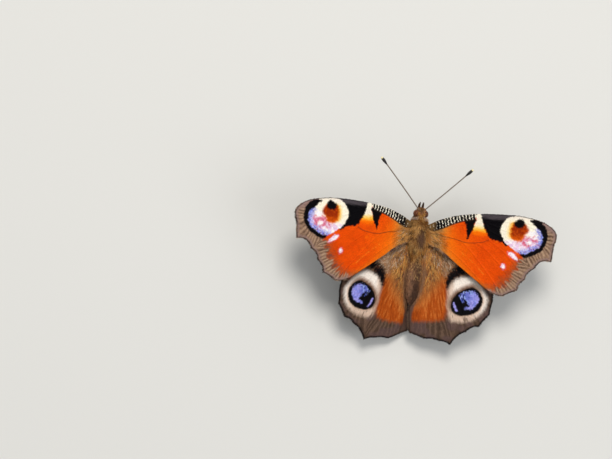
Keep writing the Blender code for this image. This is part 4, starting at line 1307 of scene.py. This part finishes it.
def fringe(wing, matrix, edge, size, pitch, dark, pale, seed):
    """Short hair-scales that stand out along an edge of the wing, dark and pale in turn."""
    rng = np.random.default_rng(seed)
    length = np.append(0, np.cumsum(np.linalg.norm(np.diff(edge, axis=0), axis=1)))
    count = int(length[-1] / pitch)
    place = np.sort(rng.uniform(0, length[-1], count))
    roots = np.column_stack([np.interp(place, length, edge[:, k]) for k in (0, 1)])
    along = unit(np.column_stack([np.interp(place, length, g) for g in np.gradient(edge, axis=0).T]))
    outward = left_of(along)
    probe = wing.edge_gap(roots + outward * 0.3)
    outward *= np.where(probe > 0, 1, -1)[:, None]
    roots = roots - outward * 0.12
    flat_out = unit(outward + along * rng.normal(0, 0.22, count)[:, None])
    lift = rng.uniform(-0.05, 0.07, count)
    points = np.column_stack([roots, wing.surface(roots) + lift])
    ways = np.column_stack([flat_out, np.zeros(count)])
    long, rise = rng.uniform(*size, count), rng.normal(0, 0.1, count)
    blades, faces = hairs(points, ways, UPWARD, long, FRINGE_WIDTH, rise, 0.0, rng)
    mix = ease(-0.25, 0.25, noise(place * 1.1, place * 0, seed) + 0.2 * rng.normal(0, 1, count))
    colour = dark + (pale - dark) * mix[:, None]
    tint = blade_tint(colour, rng, 0.9, 1.05, 0.16)
    return carried(blades, matrix), faces, tint, blade_map(wing.unwrap(roots))


def picked(shades, count, rng):
    """One of the shades for each hair, drawn by each shade's share."""
    colours, shares = zip(*shades)
    return np.array(colours)[rng.choice(len(shades), count, p=shares)]


def wing_hair(wing, matrix, region, count, length, colours, seed, paint_seed):
    """Long fine hairs that lie over part of the wing along its fan.

    Each takes a pale or a dark shade from the clump that it stands in. On the hindwing some are silvered,
    and the rearmost are rusty. Towards the region's border they take the wing's own painted colour.
    """
    rng = np.random.default_rng(seed)
    line = ring_through(region)
    low, high = line.min(axis=0) - 0.8, line.max(axis=0) + 0.8
    roots = rng.uniform(low, high, (count * 5, 2))
    depth = -distance_to(roots, line, closed=True)
    keep = (rng.uniform(0, 1, len(roots)) < ease(-0.9, 1.4, depth)) & (wing.edge_gap(roots) < -0.1)
    roots = roots[keep][:count]
    count = len(roots)
    along = unit(roots - wing.centre)
    bend = rng.normal(0, 0.16, count)[:, None]
    along = unit(along + left_of(along) * bend)
    points = wing.raised(roots, rng.uniform(0.03, 0.14, count), 1)
    ways = np.column_stack([along, np.zeros(count)])
    long, width, rise = (rng.uniform(*span, count) for span in (length, HAIR_WIDTH, HAIR_RISE))
    blades, faces = hairs(points, ways, UPWARD, long, width, rise, 0.05, rng)
    pale, dark = (picked(group, count, rng) for group in colours)
    on_hindwing = wing.paint is paint_hindwing
    in_pale = clumps(roots, wing.centre, CLUMP_SEED) + rng.normal(0, 0.3, count) > -0.15
    colour = np.where(in_pale[:, None], pale, dark)
    silvered = ease(0.5, 4.0, roots[:, 0] + 0.2 * roots[:, 1] + 1.0) * ease(-6.5, -3.0, roots[:, 1])
    silvered = silvered * on_hindwing * rng.uniform(0, 1, count) > 0.35
    fleck = (mottle(roots, 3.6, CLUMP_SEED + 1) + rng.normal(0, 0.15, count))[:, None]
    flecked = np.where(fleck > 0.32, SILVER, np.where(fleck < -0.05, SEPIA, TAWNY))
    colour = np.where(silvered[:, None], flecked, colour)
    rusty = on_hindwing * ease(-7.0, -12.0, roots[:, 1] - 0.2 * roots[:, 0]) * 0.8
    colour = np.where((rng.uniform(0, 1, count) < rusty)[:, None], RUST_PALE, colour)
    middle = roots + along * 0.6
    outward = distance_to(middle, line, closed=True) * ease(-0.5, 1.0, roots[:, 0] + roots[:, 1] * 0.1)
    ground = wing.paint(middle, paint_seed, wing.edge_gap)
    colour = lay(colour, (ground, ease(-1.2, 0.6, outward + rng.normal(0, 0.5, count))))
    if on_hindwing:
        colour = lay(colour, (FOLD, folded(roots, rng.normal(0, 0.2, count)) * 0.9))
    tint = blade_tint(colour, rng, 0.7, 1.25, 0.28)
    return carried(blades, matrix), faces, tint, blade_map(wing.unwrap(roots))


FOREWING = Wing(FORE_COSTA, FORE_TEETH, FORE_INNER, FORE_VEINS, fore_surface, FORE_FAN, paint_forewing)
HINDWINGS = {
    side: Wing(
        HIND_COSTA,
        (*HIND_TEETH, HIND_CORNERS[side]),
        (*HIND_INNER_REAR[side], *HIND_INNER),
        HIND_VEINS,
        hind_surface,
        HIND_FAN,
        paint_hindwing,
    )
    for side in ("left", "right")
}
FORE_HAIR_REGION = (
    (-1.4, 0.7), (0.6, 0.3), (2.0, 0.6), (2.9, 0.0), (3.2, -1.4), (3.0, -3.2), (1.0, -2.2),
    (-1.4, -1.5),
)
# The hairs' colours on each kind of wing, in pale clumps and in dark ones, with the share of each.
FORE_HAIR_COLOURS = (
    ((GOLD, 0.55), (OCHRE, 0.35), (SILVER, 0.1)),
    ((BASE_BROWN, 0.35), (SEPIA, 0.35), (SEPIA_DARK, 0.3)),
)
HIND_HAIR_COLOURS = (
    ((GOLD, 0.6), (TAWNY, 0.3), (RUST_PALE, 0.1)),
    ((SEPIA, 0.4), (SEPIA_DARK, 0.3), (RUST_PALE, 0.3)),
)
# Each kind of wing's hair: where it grows, how many hairs, their length in millimetres and their colours.
WING_HAIR = {
    "forewing": (FORE_HAIR_REGION, 3000, (0.7, 1.5), FORE_HAIR_COLOURS),
    "hindwing": (HIND_HAIR_REGION, 9000, (0.6, 1.3), HIND_HAIR_COLOURS),
}
# Each kind of wing's outer and inner fringe: the hair-scales' length and pitch, in millimetres, and their
# dark and pale colours. The inner one grows between two places across the forewing, and behind one place
# on the hindwing.
FRINGES = {
    "forewing": (
        ((0.28, 0.44), 0.045, MARGIN_DARK * 0.6, MARGIN_PALE),
        ((0.3, 0.8), 0.010, SEPIA, GREY_BROWN),
    ),
    "hindwing": (
        ((0.28, 0.44), 0.045, BLACK, SEPIA_DARK),
        ((0.35, 0.7), 0.022, SEPIA_DARK, UMBER_PALE),
    ),
}
FORE_INNER_FRINGE = (-1.0, 5.0)
HIND_INNER_FRINGE = -10.5


def make_wing(kind, wing, root, pose, side, seed):
    """One wing: its membrane, the scales on both faces, the fringes and the hair over its base."""
    matrix = wing_matrix(root, pose, side)
    name = f"{kind}_{side}"
    points, faces, tint = membrane(wing, matrix, seed)
    if side == "left":
        faces = faces[:, ::-1]
    skin = new_piece(f"{name}_membrane", points, faces, WING_MEMBRANE, tint)
    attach(skin, "root")
    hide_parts(name)
    for face, more in (("upper", 0), ("under", 7)):
        points, faces, tint, bake = scales(wing, matrix, face, seed + more)
        coat = new_piece(f"{name}_scales_{face}", points, faces, WING_SCALES, tint, bake, smooth=False)
        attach(coat, "root")
    x, y = wing.rear.T
    if kind == "forewing":
        inner = wing.rear[(x > FORE_INNER_FRINGE[0]) & (x < FORE_INNER_FRINGE[1])]
    else:
        inner = wing.rear[y < HIND_INNER_FRINGE]
    outer_looks, inner_looks = FRINGES[kind]
    edges = (("fringe", wing.fringed, *outer_looks), ("inner_fringe", inner, *inner_looks))
    for more, (label, *looks) in enumerate(edges):
        points, faces, tint, bake = fringe(wing, matrix, *looks, seed + 11 + more)
        hem = new_piece(f"{name}_{label}", points, faces, WING_SCALES, tint, bake, smooth=False)
        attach(hem, "root")
    points, faces, tint, bake = wing_hair(wing, matrix, *WING_HAIR[kind], seed + 13, seed)
    hair = new_piece(f"{name}_hair", points, faces, FUR, tint, bake, smooth=False)
    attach(hair, "root")


# Body.


FUR_GOLD = linear(206, 142, 70)
FUR_OLIVE = linear(150, 106, 50)
FUR_RUST = linear(150, 90, 34)
FUR_PINK = linear(216, 140, 106)
FUR_DARK = linear(78, 54, 38)
FUR_PALE = linear(216, 168, 104)
FUR_ASH = linear(196, 172, 160)
FUR_GREY = linear(160, 146, 124)
FEELER_BROWN = linear(92, 74, 60)
FEELER_RING = linear(190, 178, 156)
CLUB_BLACK = linear(20, 15, 13)
CLUB_TIP = linear(240, 226, 170)
TONGUE_BROWN = linear(66, 42, 28)
LEG_BROWN = linear(96, 72, 48)
LEG_DARK = linear(58, 42, 32)
SMUDGE = linear(98, 70, 54)
BACK = linear(128, 90, 62)
BACK_DARK = linear(86, 60, 46)
BACK_SIDE = linear(176, 122, 78)
BACK_PALE = linear(160, 118, 90)


def smudged(place, seed):
    """How far each place lies in the dark smudge down the middle of the back."""
    x, y, z = place.T
    patchy = noise(x * 1.4 + 9, y * 1.1, seed)
    away = np.hypot((x - 0.3) / 0.95, (y - 0.6) / 2.6)
    return ease(1.25, 0.45, away + 0.2 * patchy) * ease(-0.6, 0.8, z)


def body_colour(place, seed):
    """The coat's colours: golden brown, smudged dark mid-back, greyer on the abdomen, with painted light on
    the right flank.
    """
    x, y, z = place.T
    patchy = noise(x * 1.4 + 9, y * 1.1, seed)
    fine = noise(x * 2.6 + 9, y * 1.4, seed + 1)
    blotches = noise(x * 1.9 + 3, y * 1.6, seed + 2)
    colour = lay(
        FUR_GOLD,
        (FUR_OLIVE, 0.4 + 0.8 * patchy),
        (FUR_DARK, ease(0.0, 0.6, blotches) * 0.5),
        (FUR_RUST, ease(-1.6, -3.2, y) * 0.6),
        (FUR_RUST, ease(3.4, 4.0, y) * ease(5.0, 4.4, y) * 0.6),
        (FUR_PINK, ease(1.7, 2.2, np.abs(x)) * ease(3.0, 2.0, y) * ease(0.0, 0.7, y) * 0.9),
        # Painted light: the thorax's right flank lifted to a lighter gold.
        (FUR_GOLD * 1.1, ease(0.9, 1.5, x - 0.1 * patchy) * ease(4.0, 3.0, y) * ease(-3.0, -1.0, y) * 0.8),
        (FUR_PINK, ease(5.4, 6.2, y) * ease(-0.2, 0.4, blotches) * 0.7),
        (FUR_DARK, ease(0.1, 0.45, fine) * 0.75),
        (FUR_PALE, ease(-0.25, -0.55, fine) * 0.6),
        # More painted light on the thorax's right flank.
        (FUR_GOLD * 1.1, ease(0.9, 1.3, x) * ease(3.2, 2.2, y) * ease(-3.0, -1.5, y) * 0.6),
        (FUR_RUST * 0.7, ease(1.1, 0.5, np.abs(x - 0.2)) * ease(3.5, 3.9, y) * ease(5.0, 4.6, y) * 0.85),
        (FUR_ASH, ease(0.25, 0.7, np.abs(x)) * ease(4.7, 5.0, y) * ease(6.4, 6.0, y) * 0.95),
    )
    dark = lay(SMUDGE, (FUR_DARK, ease(1.0, -1.6, y) * 0.7))
    colour = lay(colour, (dark, smudged(place, seed) * 0.92))
    back = lay(
        BACK,
        (BACK_DARK, 0.5 + 0.9 * patchy + 0.7 * ease(-7.5, -11.0, y)),
        (BACK_SIDE, ease(0.8, 1.4, np.abs(x) + 0.3 * fine) * ease(-13.0, -10.0, y) * 0.8),
        (BACK_SIDE, ease(0.15, 0.6, fine) * 0.35),
        (BACK_PALE, ease(0.1, -0.9, x + 0.5 * patchy) * ease(-5.6, -7.0, y) * ease(-14.5, -12.5, y) * 0.7),
        (BACK_DARK * 0.7, ease(0.8, 0.2, np.abs(x - 0.45) + 0.4 * blotches) * ease(-6.5, -8.0, y) * 0.7),
    )
    return lay(colour, (back, ease(-4.2, -5.2, y)), (FUR_GREY, ease(0.0, -1.5, z) * 0.35))


def body_map(y, angle):
    """The skin unrolled: along the body, and round it from the belly."""
    round_it = (angle / (2 * np.pi) + 0.5) % 1.0
    down_it = (NOSE_Y - y) / (NOSE_Y - TAIL_Y)
    return MAP_BORDER + MAP_SIZE * np.column_stack([down_it, round_it])


def make_body():
    """One skin from the face to the abdomen's tip: a ring of the section at each place along it."""
    t = np.linspace(0, 1, BODY_RINGS)
    y = NOSE_Y + (TAIL_Y - NOSE_Y) * (t - 0.10 * np.sin(2 * np.pi * t) / (2 * np.pi))
    angle = np.linspace(0, 2 * np.pi, BODY_SIDES, endpoint=False)
    all_y, all_angle = np.repeat(y, BODY_SIDES), np.tile(angle, BODY_RINGS)
    points, outward = body_point(all_y, all_angle)
    points += outward * (0.035 * noise(all_angle * 5, all_y * 4, SEED + 70))[:, None]
    points[:BODY_SIDES] = points[:BODY_SIDES].mean(axis=0)
    points[-BODY_SIDES:] = points[-BODY_SIDES:].mean(axis=0)
    tint = body_colour(points, SEED + 60) * 0.7
    skin = new_piece("body_skin", points, grid_faces(BODY_RINGS, BODY_SIDES)[:, ::-1], BODY_SKIN, tint)
    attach(skin, "root")
    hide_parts("head", "neck", "thorax", "abdomen")


def body_fur(name, count, low, high, length, width, rise, seed, arc=(0.0, np.pi), ahead=-1.0, splay=0.0):
    """Tufts over a stretch of the body, thickest where it is widest.

    arc bounds how far round from the back they grow. ahead is 1 where they lie towards the face and -1
    where they lie towards the tail, and splay turns them down the sides.
    """
    rng = np.random.default_rng(seed)
    y = rng.uniform(low, high, count * 3)
    width_there = body_section(y)[0]
    keep = rng.uniform(0, width_there.max(), len(y)) < width_there
    y = y[keep][:count]
    count = len(y)
    angle = rng.uniform(*arc, count) * rng.choice((-1.0, 1.0), count)
    roots, outward = body_point(y, angle, -0.03)
    onward, _ = body_point(y + 0.05 * ahead, angle, -0.03)
    along = unit(onward - roots)
    around = np.column_stack([np.cos(angle), np.zeros(count), -np.sin(angle)]) * np.sign(angle)[:, None]
    along = unit(along * (1 - abs(splay)) + around * (splay + rng.normal(0, 0.22, count))[:, None])
    # No tuft stands on an eye.
    beside = np.hypot((np.abs(roots[:, 0]) - EYE_CENTRE[0]) / 0.95, roots[:, 1] - EYE_CENTRE[1]) > 0.62
    clear = beside | (np.abs(roots[:, 2]) > 0.85)
    roots, outward, along, y, angle = (values[clear] for values in (roots, outward, along, y, angle))
    count = len(roots)
    long, wide, risen = (rng.uniform(*span, count) for span in (length, width, rise))
    blades, faces = hairs(roots, along, outward, long, wide, risen, 0.12, rng)
    colour = body_colour(roots, SEED + 60)
    # About one tuft in seven is pale, and one in seven dark.
    pick = rng.uniform(0, 1, count)
    pale = pick < 0.14 * (1 - smudged(roots, SEED + 60)) * ease(-9.5, -6.5, roots[:, 1])
    colour = np.where(pale[:, None], FUR_PALE, np.where(pick[:, None] > 0.86, FUR_DARK, colour))
    tint = blade_tint(colour, rng, 0.6, 1.25, 0.22)
    fur = new_piece(name, blades, faces, FUR, tint, blade_map(body_map(y, angle)), smooth=False)
    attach(fur, "root")


# The body's coats: name, how many tufts, from and to which y, the tufts' length, width and rise and,
# where they aren't the usual ones, the arc, direction and splay that body_fur takes.
BODY_COATS = (
    ("thorax_fur", 12000, -4.7, 4.0, (0.7, 1.3), (0.04, 0.07), (0.2, 0.5)),
    ("abdomen_fur", 11000, -14.6, -4.4, (0.35, 0.75), (0.04, 0.07), (0.1, 0.35)),
    ("head_fur", 3600, 4.4, 7.3, (0.3, 0.6), (0.03, 0.05), (0.3, 0.8)),
    ("brow_fur", 2600, 5.2, 7.0, (0.45, 0.8), (0.03, 0.05), (0.4, 0.8), (0.1, 1.1), 1.0, 0.7),
    ("collar_fur", 6500, 3.6, 5.3, (0.45, 0.75), (0.035, 0.055), (0.9, 1.5)),
    ("shoulder_fur", 2600, 0.6, 3.2, (1.0, 1.7), (0.04, 0.07), (0.3, 0.7), (0.8, 1.6), -1.0, 0.3),
)
# The tufts of the palps and the forelegs: length, width, rise and colour.
PALP_FUR = ((0.2, 0.45), (0.03, 0.05), (0.08, 0.25), SEPIA)
FORELEG_FUR = ((0.3, 0.7), (0.035, 0.06), (0.2, 0.55), FUR_OLIVE)


def mirrored(points, side):
    """Points of the right side as they are or, for the left side, with x turned round."""
    flip = -1.0 if side == "left" else 1.0
    return np.array(points, float) * (flip, 1.0, 1.0)


def tube_fur(name, tube, count, length, width, rise, colour, slot, seed, span=(0.0, 1.0)):
    """Tufts all round a limb, lying towards its far end."""
    rng = np.random.default_rng(seed)
    share, angle = rng.uniform(*span, count), rng.uniform(0, 2 * np.pi, count)
    roots, outward, along = tube.at(share, angle, -0.01)
    along = unit(along + np.cross(outward, along) * rng.normal(0, 0.15, count)[:, None])
    long, wide, risen = (rng.uniform(*limits, count) for limits in (length, width, rise))
    blades, faces = hairs(roots, along, outward, long, wide, risen, 0.05, rng)
    tint = blade_tint(np.tile(colour, (count, 1)), rng, 0.6, 1.25, 0.22)
    root_map = MAP_BORDER + MAP_SIZE * np.column_stack([share, angle / (2 * np.pi)])
    fur = new_piece(name, blades, faces, FUR, tint, blade_map(root_map), smooth=False)
    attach(fur, "root")


def solid_limb(name, tube, sides, finish, tint, node_name):
    """A limb's closed skin. tint is one colour, or one for each ring of the tube."""
    points, faces = tube.skin(sides)
    shades = np.repeat(np.broadcast_to(tint, (len(tube.route), 3)), sides, axis=0)
    piece = new_piece(name, points, faces, finish, shades)
    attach(piece, "root")
    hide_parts(node_name)


def furred_limb(kind, side, route, radii, per_span, sides, shade, fur, seed):
    """A short limb with a dark core and a coat of tufts: fur is their length, width, rise and colour."""
    tube = Tube(curve_through(mirrored(route, side), per_span), values_through(radii, per_span))
    solid_limb(f"{kind}_{side}_core", tube, sides, BODY_SKIN, shade, f"{kind}_{side}")
    tube_fur(f"{kind}_{side}_fur", tube, 900, *fur, "fur", seed)


def make_eye(side):
    """A domed eye: a sphere drawn out to three radii, its poles before and behind."""
    rings, sides = 40, 64
    tip = np.linspace(0, np.pi, rings)
    angle = np.linspace(0, 2 * np.pi, sides, endpoint=False)
    tip, angle = np.repeat(tip, sides), np.tile(angle, rings)
    ball = np.column_stack([np.sin(tip) * np.cos(angle), np.cos(tip), np.sin(tip) * np.sin(angle)])
    points = mirrored(ball * EYE_RADII + EYE_CENTRE, side)
    faces = grid_faces(rings, sides)
    eye = new_piece(f"eye_{side}_dome", points, faces if side == "right" else faces[:, ::-1], EYE)
    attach(eye, "root")
    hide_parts(f"eye_{side}")


def make_antenna(side):
    """A feeler of many short segments, pale at each joint, with a dark club that ends in cream."""
    base, tip = np.array(ANTENNA_BASE), np.array(ANTENNA_TIPS[side])
    length = np.linalg.norm(tip - base)
    share = np.linspace(0, 1, ANTENNA_SEGMENTS * 4 + 1)
    from_club = (share - 1 + CLUB_LENGTH / length) / (CLUB_LENGTH / length)
    swelling = ease(-0.15, 0.55, from_club) * np.sqrt(np.clip((1.03 - from_club) / 0.35, 0, 1))
    radius = ANTENNA_RADIUS * np.minimum(1, np.sqrt(np.clip((1.03 - from_club) / 0.2, 0.01, 1)))
    radius = radius + (CLUB_RADIUS - ANTENNA_RADIUS) * swelling
    joint = np.cos(2 * np.pi * share * ANTENNA_SEGMENTS)
    radius *= 1 - 0.05 * ease(0.2, 1.0, joint)
    route = base + (tip - base) * share[:, None]
    route[:, 2] += ANTENNA_BOW * np.sin(np.pi * share)
    shaft = lay(
        FEELER_BROWN,
        (FEELER_RING, ease(0.6, 1.0, joint) * 0.6),
        (CLUB_BLACK, ease(-0.1, 0.15, from_club)),
        (CLUB_TIP, ease(0.80, 0.88, from_club)),
    )
    tube = Tube(mirrored(route, side), radius)
    solid_limb(f"antenna_{side}_feeler", tube, 14, CHITIN, shaft, f"antenna_{side}")


def make_tongue():
    """The coiled tongue: a spiral of shrinking radius, ribbed along its length."""
    turn = np.linspace(0, 1, COIL_RINGS)
    angle = np.radians(COIL_START - COIL_TURN * turn)
    radius = COIL_RADII[0] + (COIL_RADII[1] - COIL_RADII[0]) * turn
    route = np.column_stack([0 * turn, radius * np.cos(angle), radius * np.sin(angle)]) + COIL_CENTRE
    thick = PROBOSCIS_RADIUS * (1.1 - 0.4 * turn) * (1 + 0.05 * np.cos(turn * 2 * np.pi * COIL_RIBS))
    solid_limb("tongue_coil", Tube(route, thick), 12, CHITIN, TONGUE_BROWN, "proboscis")


# A leg's radii at each end of its three stretches, and where along it the furred thigh ends.
LEG_RADII = ((0.30, 0.20), (0.19, 0.14), (0.13, 0.11))
LEG_RINGS = 24
LEG_SIDES = 14
THIGH_END = 0.36
LEG_FUR = ((0.25, 0.6), (0.03, 0.05), (0.2, 0.5), FUR_OLIVE)
LEG_SPINES = ((0.18, 0.32), (0.03, 0.05), (0.5, 0.9), LEG_DARK)


def make_leg(name, leg, side, seed):
    """A jointed leg: hip to knee thick and furred, knee to heel slim and spined, foot in segments."""
    hip = mirrored(leg["hip"], side)
    knee, heel, toe = (floor_to_body(mirrored(leg[key], side))[0] for key in ("knee", "heel", "toe"))
    route, radii = [hip[None]], [[LEG_RADII[0][0]]]
    for number, (start, end) in enumerate(((hip, knee), (knee, heel), (heel, toe))):
        share = np.linspace(0, 1, LEG_RINGS)[1:]
        bulge = 0.05 * np.sin(np.pi * share) if number < 2 else 0.018 * np.cos(share * 2 * np.pi * 5)
        first, last = LEG_RADII[number]
        route.append(start + (end - start) * share[:, None])
        radii.append(first + (last - first) * share + bulge)
    tube = Tube(np.vstack(route), np.concatenate(radii))
    points, faces = tube.skin(LEG_SIDES)
    over_floor = carried(points, BODY_TO_FLOOR)
    over_floor[:, 2] = np.maximum(over_floor[:, 2], 0.0)
    points = floor_to_body(over_floor)
    part = np.repeat(np.linspace(0, 1, len(tube.route)), LEG_SIDES)
    tint = lay(LEG_DARK, (LEG_BROWN, ease(0.25, 0.5, part)))
    piece = new_piece(f"{name}_{side}_limb", points, faces, CHITIN, tint)
    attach(piece, "root")
    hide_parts(f"{name}_{side}")
    tube_fur(f"{name}_{side}_fur", tube, 700, *LEG_FUR, "fur", seed, (0.02, THIGH_END))
    tube_fur(f"{name}_{side}_spines", tube, 90, *LEG_SPINES, "dark_skin", seed + 1, (THIGH_END, 0.93))


# Floor, light and camera.


FLOOR_HALF = 1.2


def plain_floor():
    """A pale, matt square under the model."""
    mesh = bpy.data.meshes.new("floor")
    corners = ((-1, -1), (1, -1), (1, 1), (-1, 1))
    mesh.from_pydata([(FLOOR_HALF * x, FLOOR_HALF * y, 0) for x, y in corners], [], [(0, 1, 2, 3)])
    made, _, shader = new_finish("pale_floor")
    shader.inputs["Base Color"].default_value = (*linear(216, 215, 210), 1)
    shader.inputs["Roughness"].default_value = 0.9
    mesh.materials.append(made)
    floor = bpy.data.objects.new("floor", mesh)
    bpy.context.scene.collection.objects.link(floor)


def area_light(name, place, target, size, power, colour):
    """A round soft light, size metres across, that faces its target."""
    data = bpy.data.lights.new(name, "AREA")
    data.shape = "DISK"
    data.size = size
    data.energy = power
    data.color = colour
    light = bpy.data.objects.new(name, data)
    light.location = place
    light.rotation_mode = "QUATERNION"
    light.rotation_quaternion = (Vector(target) - Vector(place)).to_track_quat("-Z", "Y")
    bpy.context.scene.collection.objects.link(light)


def studio():
    """A soft bright room, a warm key light from the head's side and a cool fill."""
    world = bpy.data.worlds.new("soft_room")
    bpy.context.scene.world = world
    world.use_nodes = True
    room = world.node_tree.nodes["Background"]
    room.inputs["Color"].default_value = (0.95, 0.97, 1.0, 1)
    room.inputs["Strength"].default_value = 0.52
    area_light("key", (-0.06, 0.34, 0.68), (0, 0, 0.005), 0.30, 3.6, (1.0, 0.965, 0.92))
    area_light("fill", (0.45, -0.20, 0.45), (0, 0, 0.005), 0.5, 0.9, (0.93, 0.96, 1.0))
    bpy.context.scene.view_settings.view_transform = "Standard"


def photo_camera():
    """The camera at the photograph's angle, placed so that the thorax falls on its own pixel."""
    focal = LENS / SENSOR * FRAME_WIDTH
    lean = Matrix.Rotation(math.radians(-CAMERA_LEAN), 3, "Y")
    lean = lean @ Matrix.Rotation(math.radians(CAMERA_ROLL), 3, "Z")
    right = THORAX_PIXEL[0] - FRAME_WIDTH / 2
    down = THORAX_PIXEL[1] - FRAME_HEIGHT / 2
    place = np.array(lean) @ np.array([-right * MM_PER_PIXEL, down * MM_PER_PIXEL, focal * MM_PER_PIXEL])
    data = bpy.data.cameras.new("photo_camera")
    data.lens = LENS
    data.sensor_width = SENSOR
    data.clip_start = 0.01
    camera = bpy.data.objects.new("photo_camera", data)
    turned = BODY_TO_FLOOR[:3, :3] @ np.array(lean)
    matrix = Matrix(turned.tolist()).to_4x4()
    matrix.translation = Vector(to_row(place[None])[0])
    camera.matrix_world = matrix
    bpy.context.scene.collection.objects.link(camera)
    bpy.context.scene.camera = camera


photo_camera()
plain_floor()
studio()
for number, side in enumerate(("left", "right")):
    wing_seed = SEED + 100 * number
    make_wing("forewing", FOREWING, FORE_ROOT, FORE_POSE, side, wing_seed)
    make_wing("hindwing", HINDWINGS[side], HIND_ROOT, HIND_POSE, side, wing_seed + 1000)
    make_eye(side)
    furred_limb("palp", side, PALP_ROUTE, PALP_RADII, 8, 16, SEPIA_DARK, PALP_FUR, SEED + 300 + number)
    make_antenna(side)
    make_leg("midleg", MID_LEG, side, SEED + 310 + number)
    make_leg("hindleg", HIND_LEG, side, SEED + 320 + number)
    furred_limb(
        "foreleg", side, FORELEG_ROUTE, FORELEG_RADII, 10, 14, FUR_DARK, FORELEG_FUR, SEED + 330 + number
    )
make_body()
for number, coat in enumerate(BODY_COATS):
    body_fur(*coat[:7], SEED + 400 + 10 * number, *coat[7:])
make_tongue()
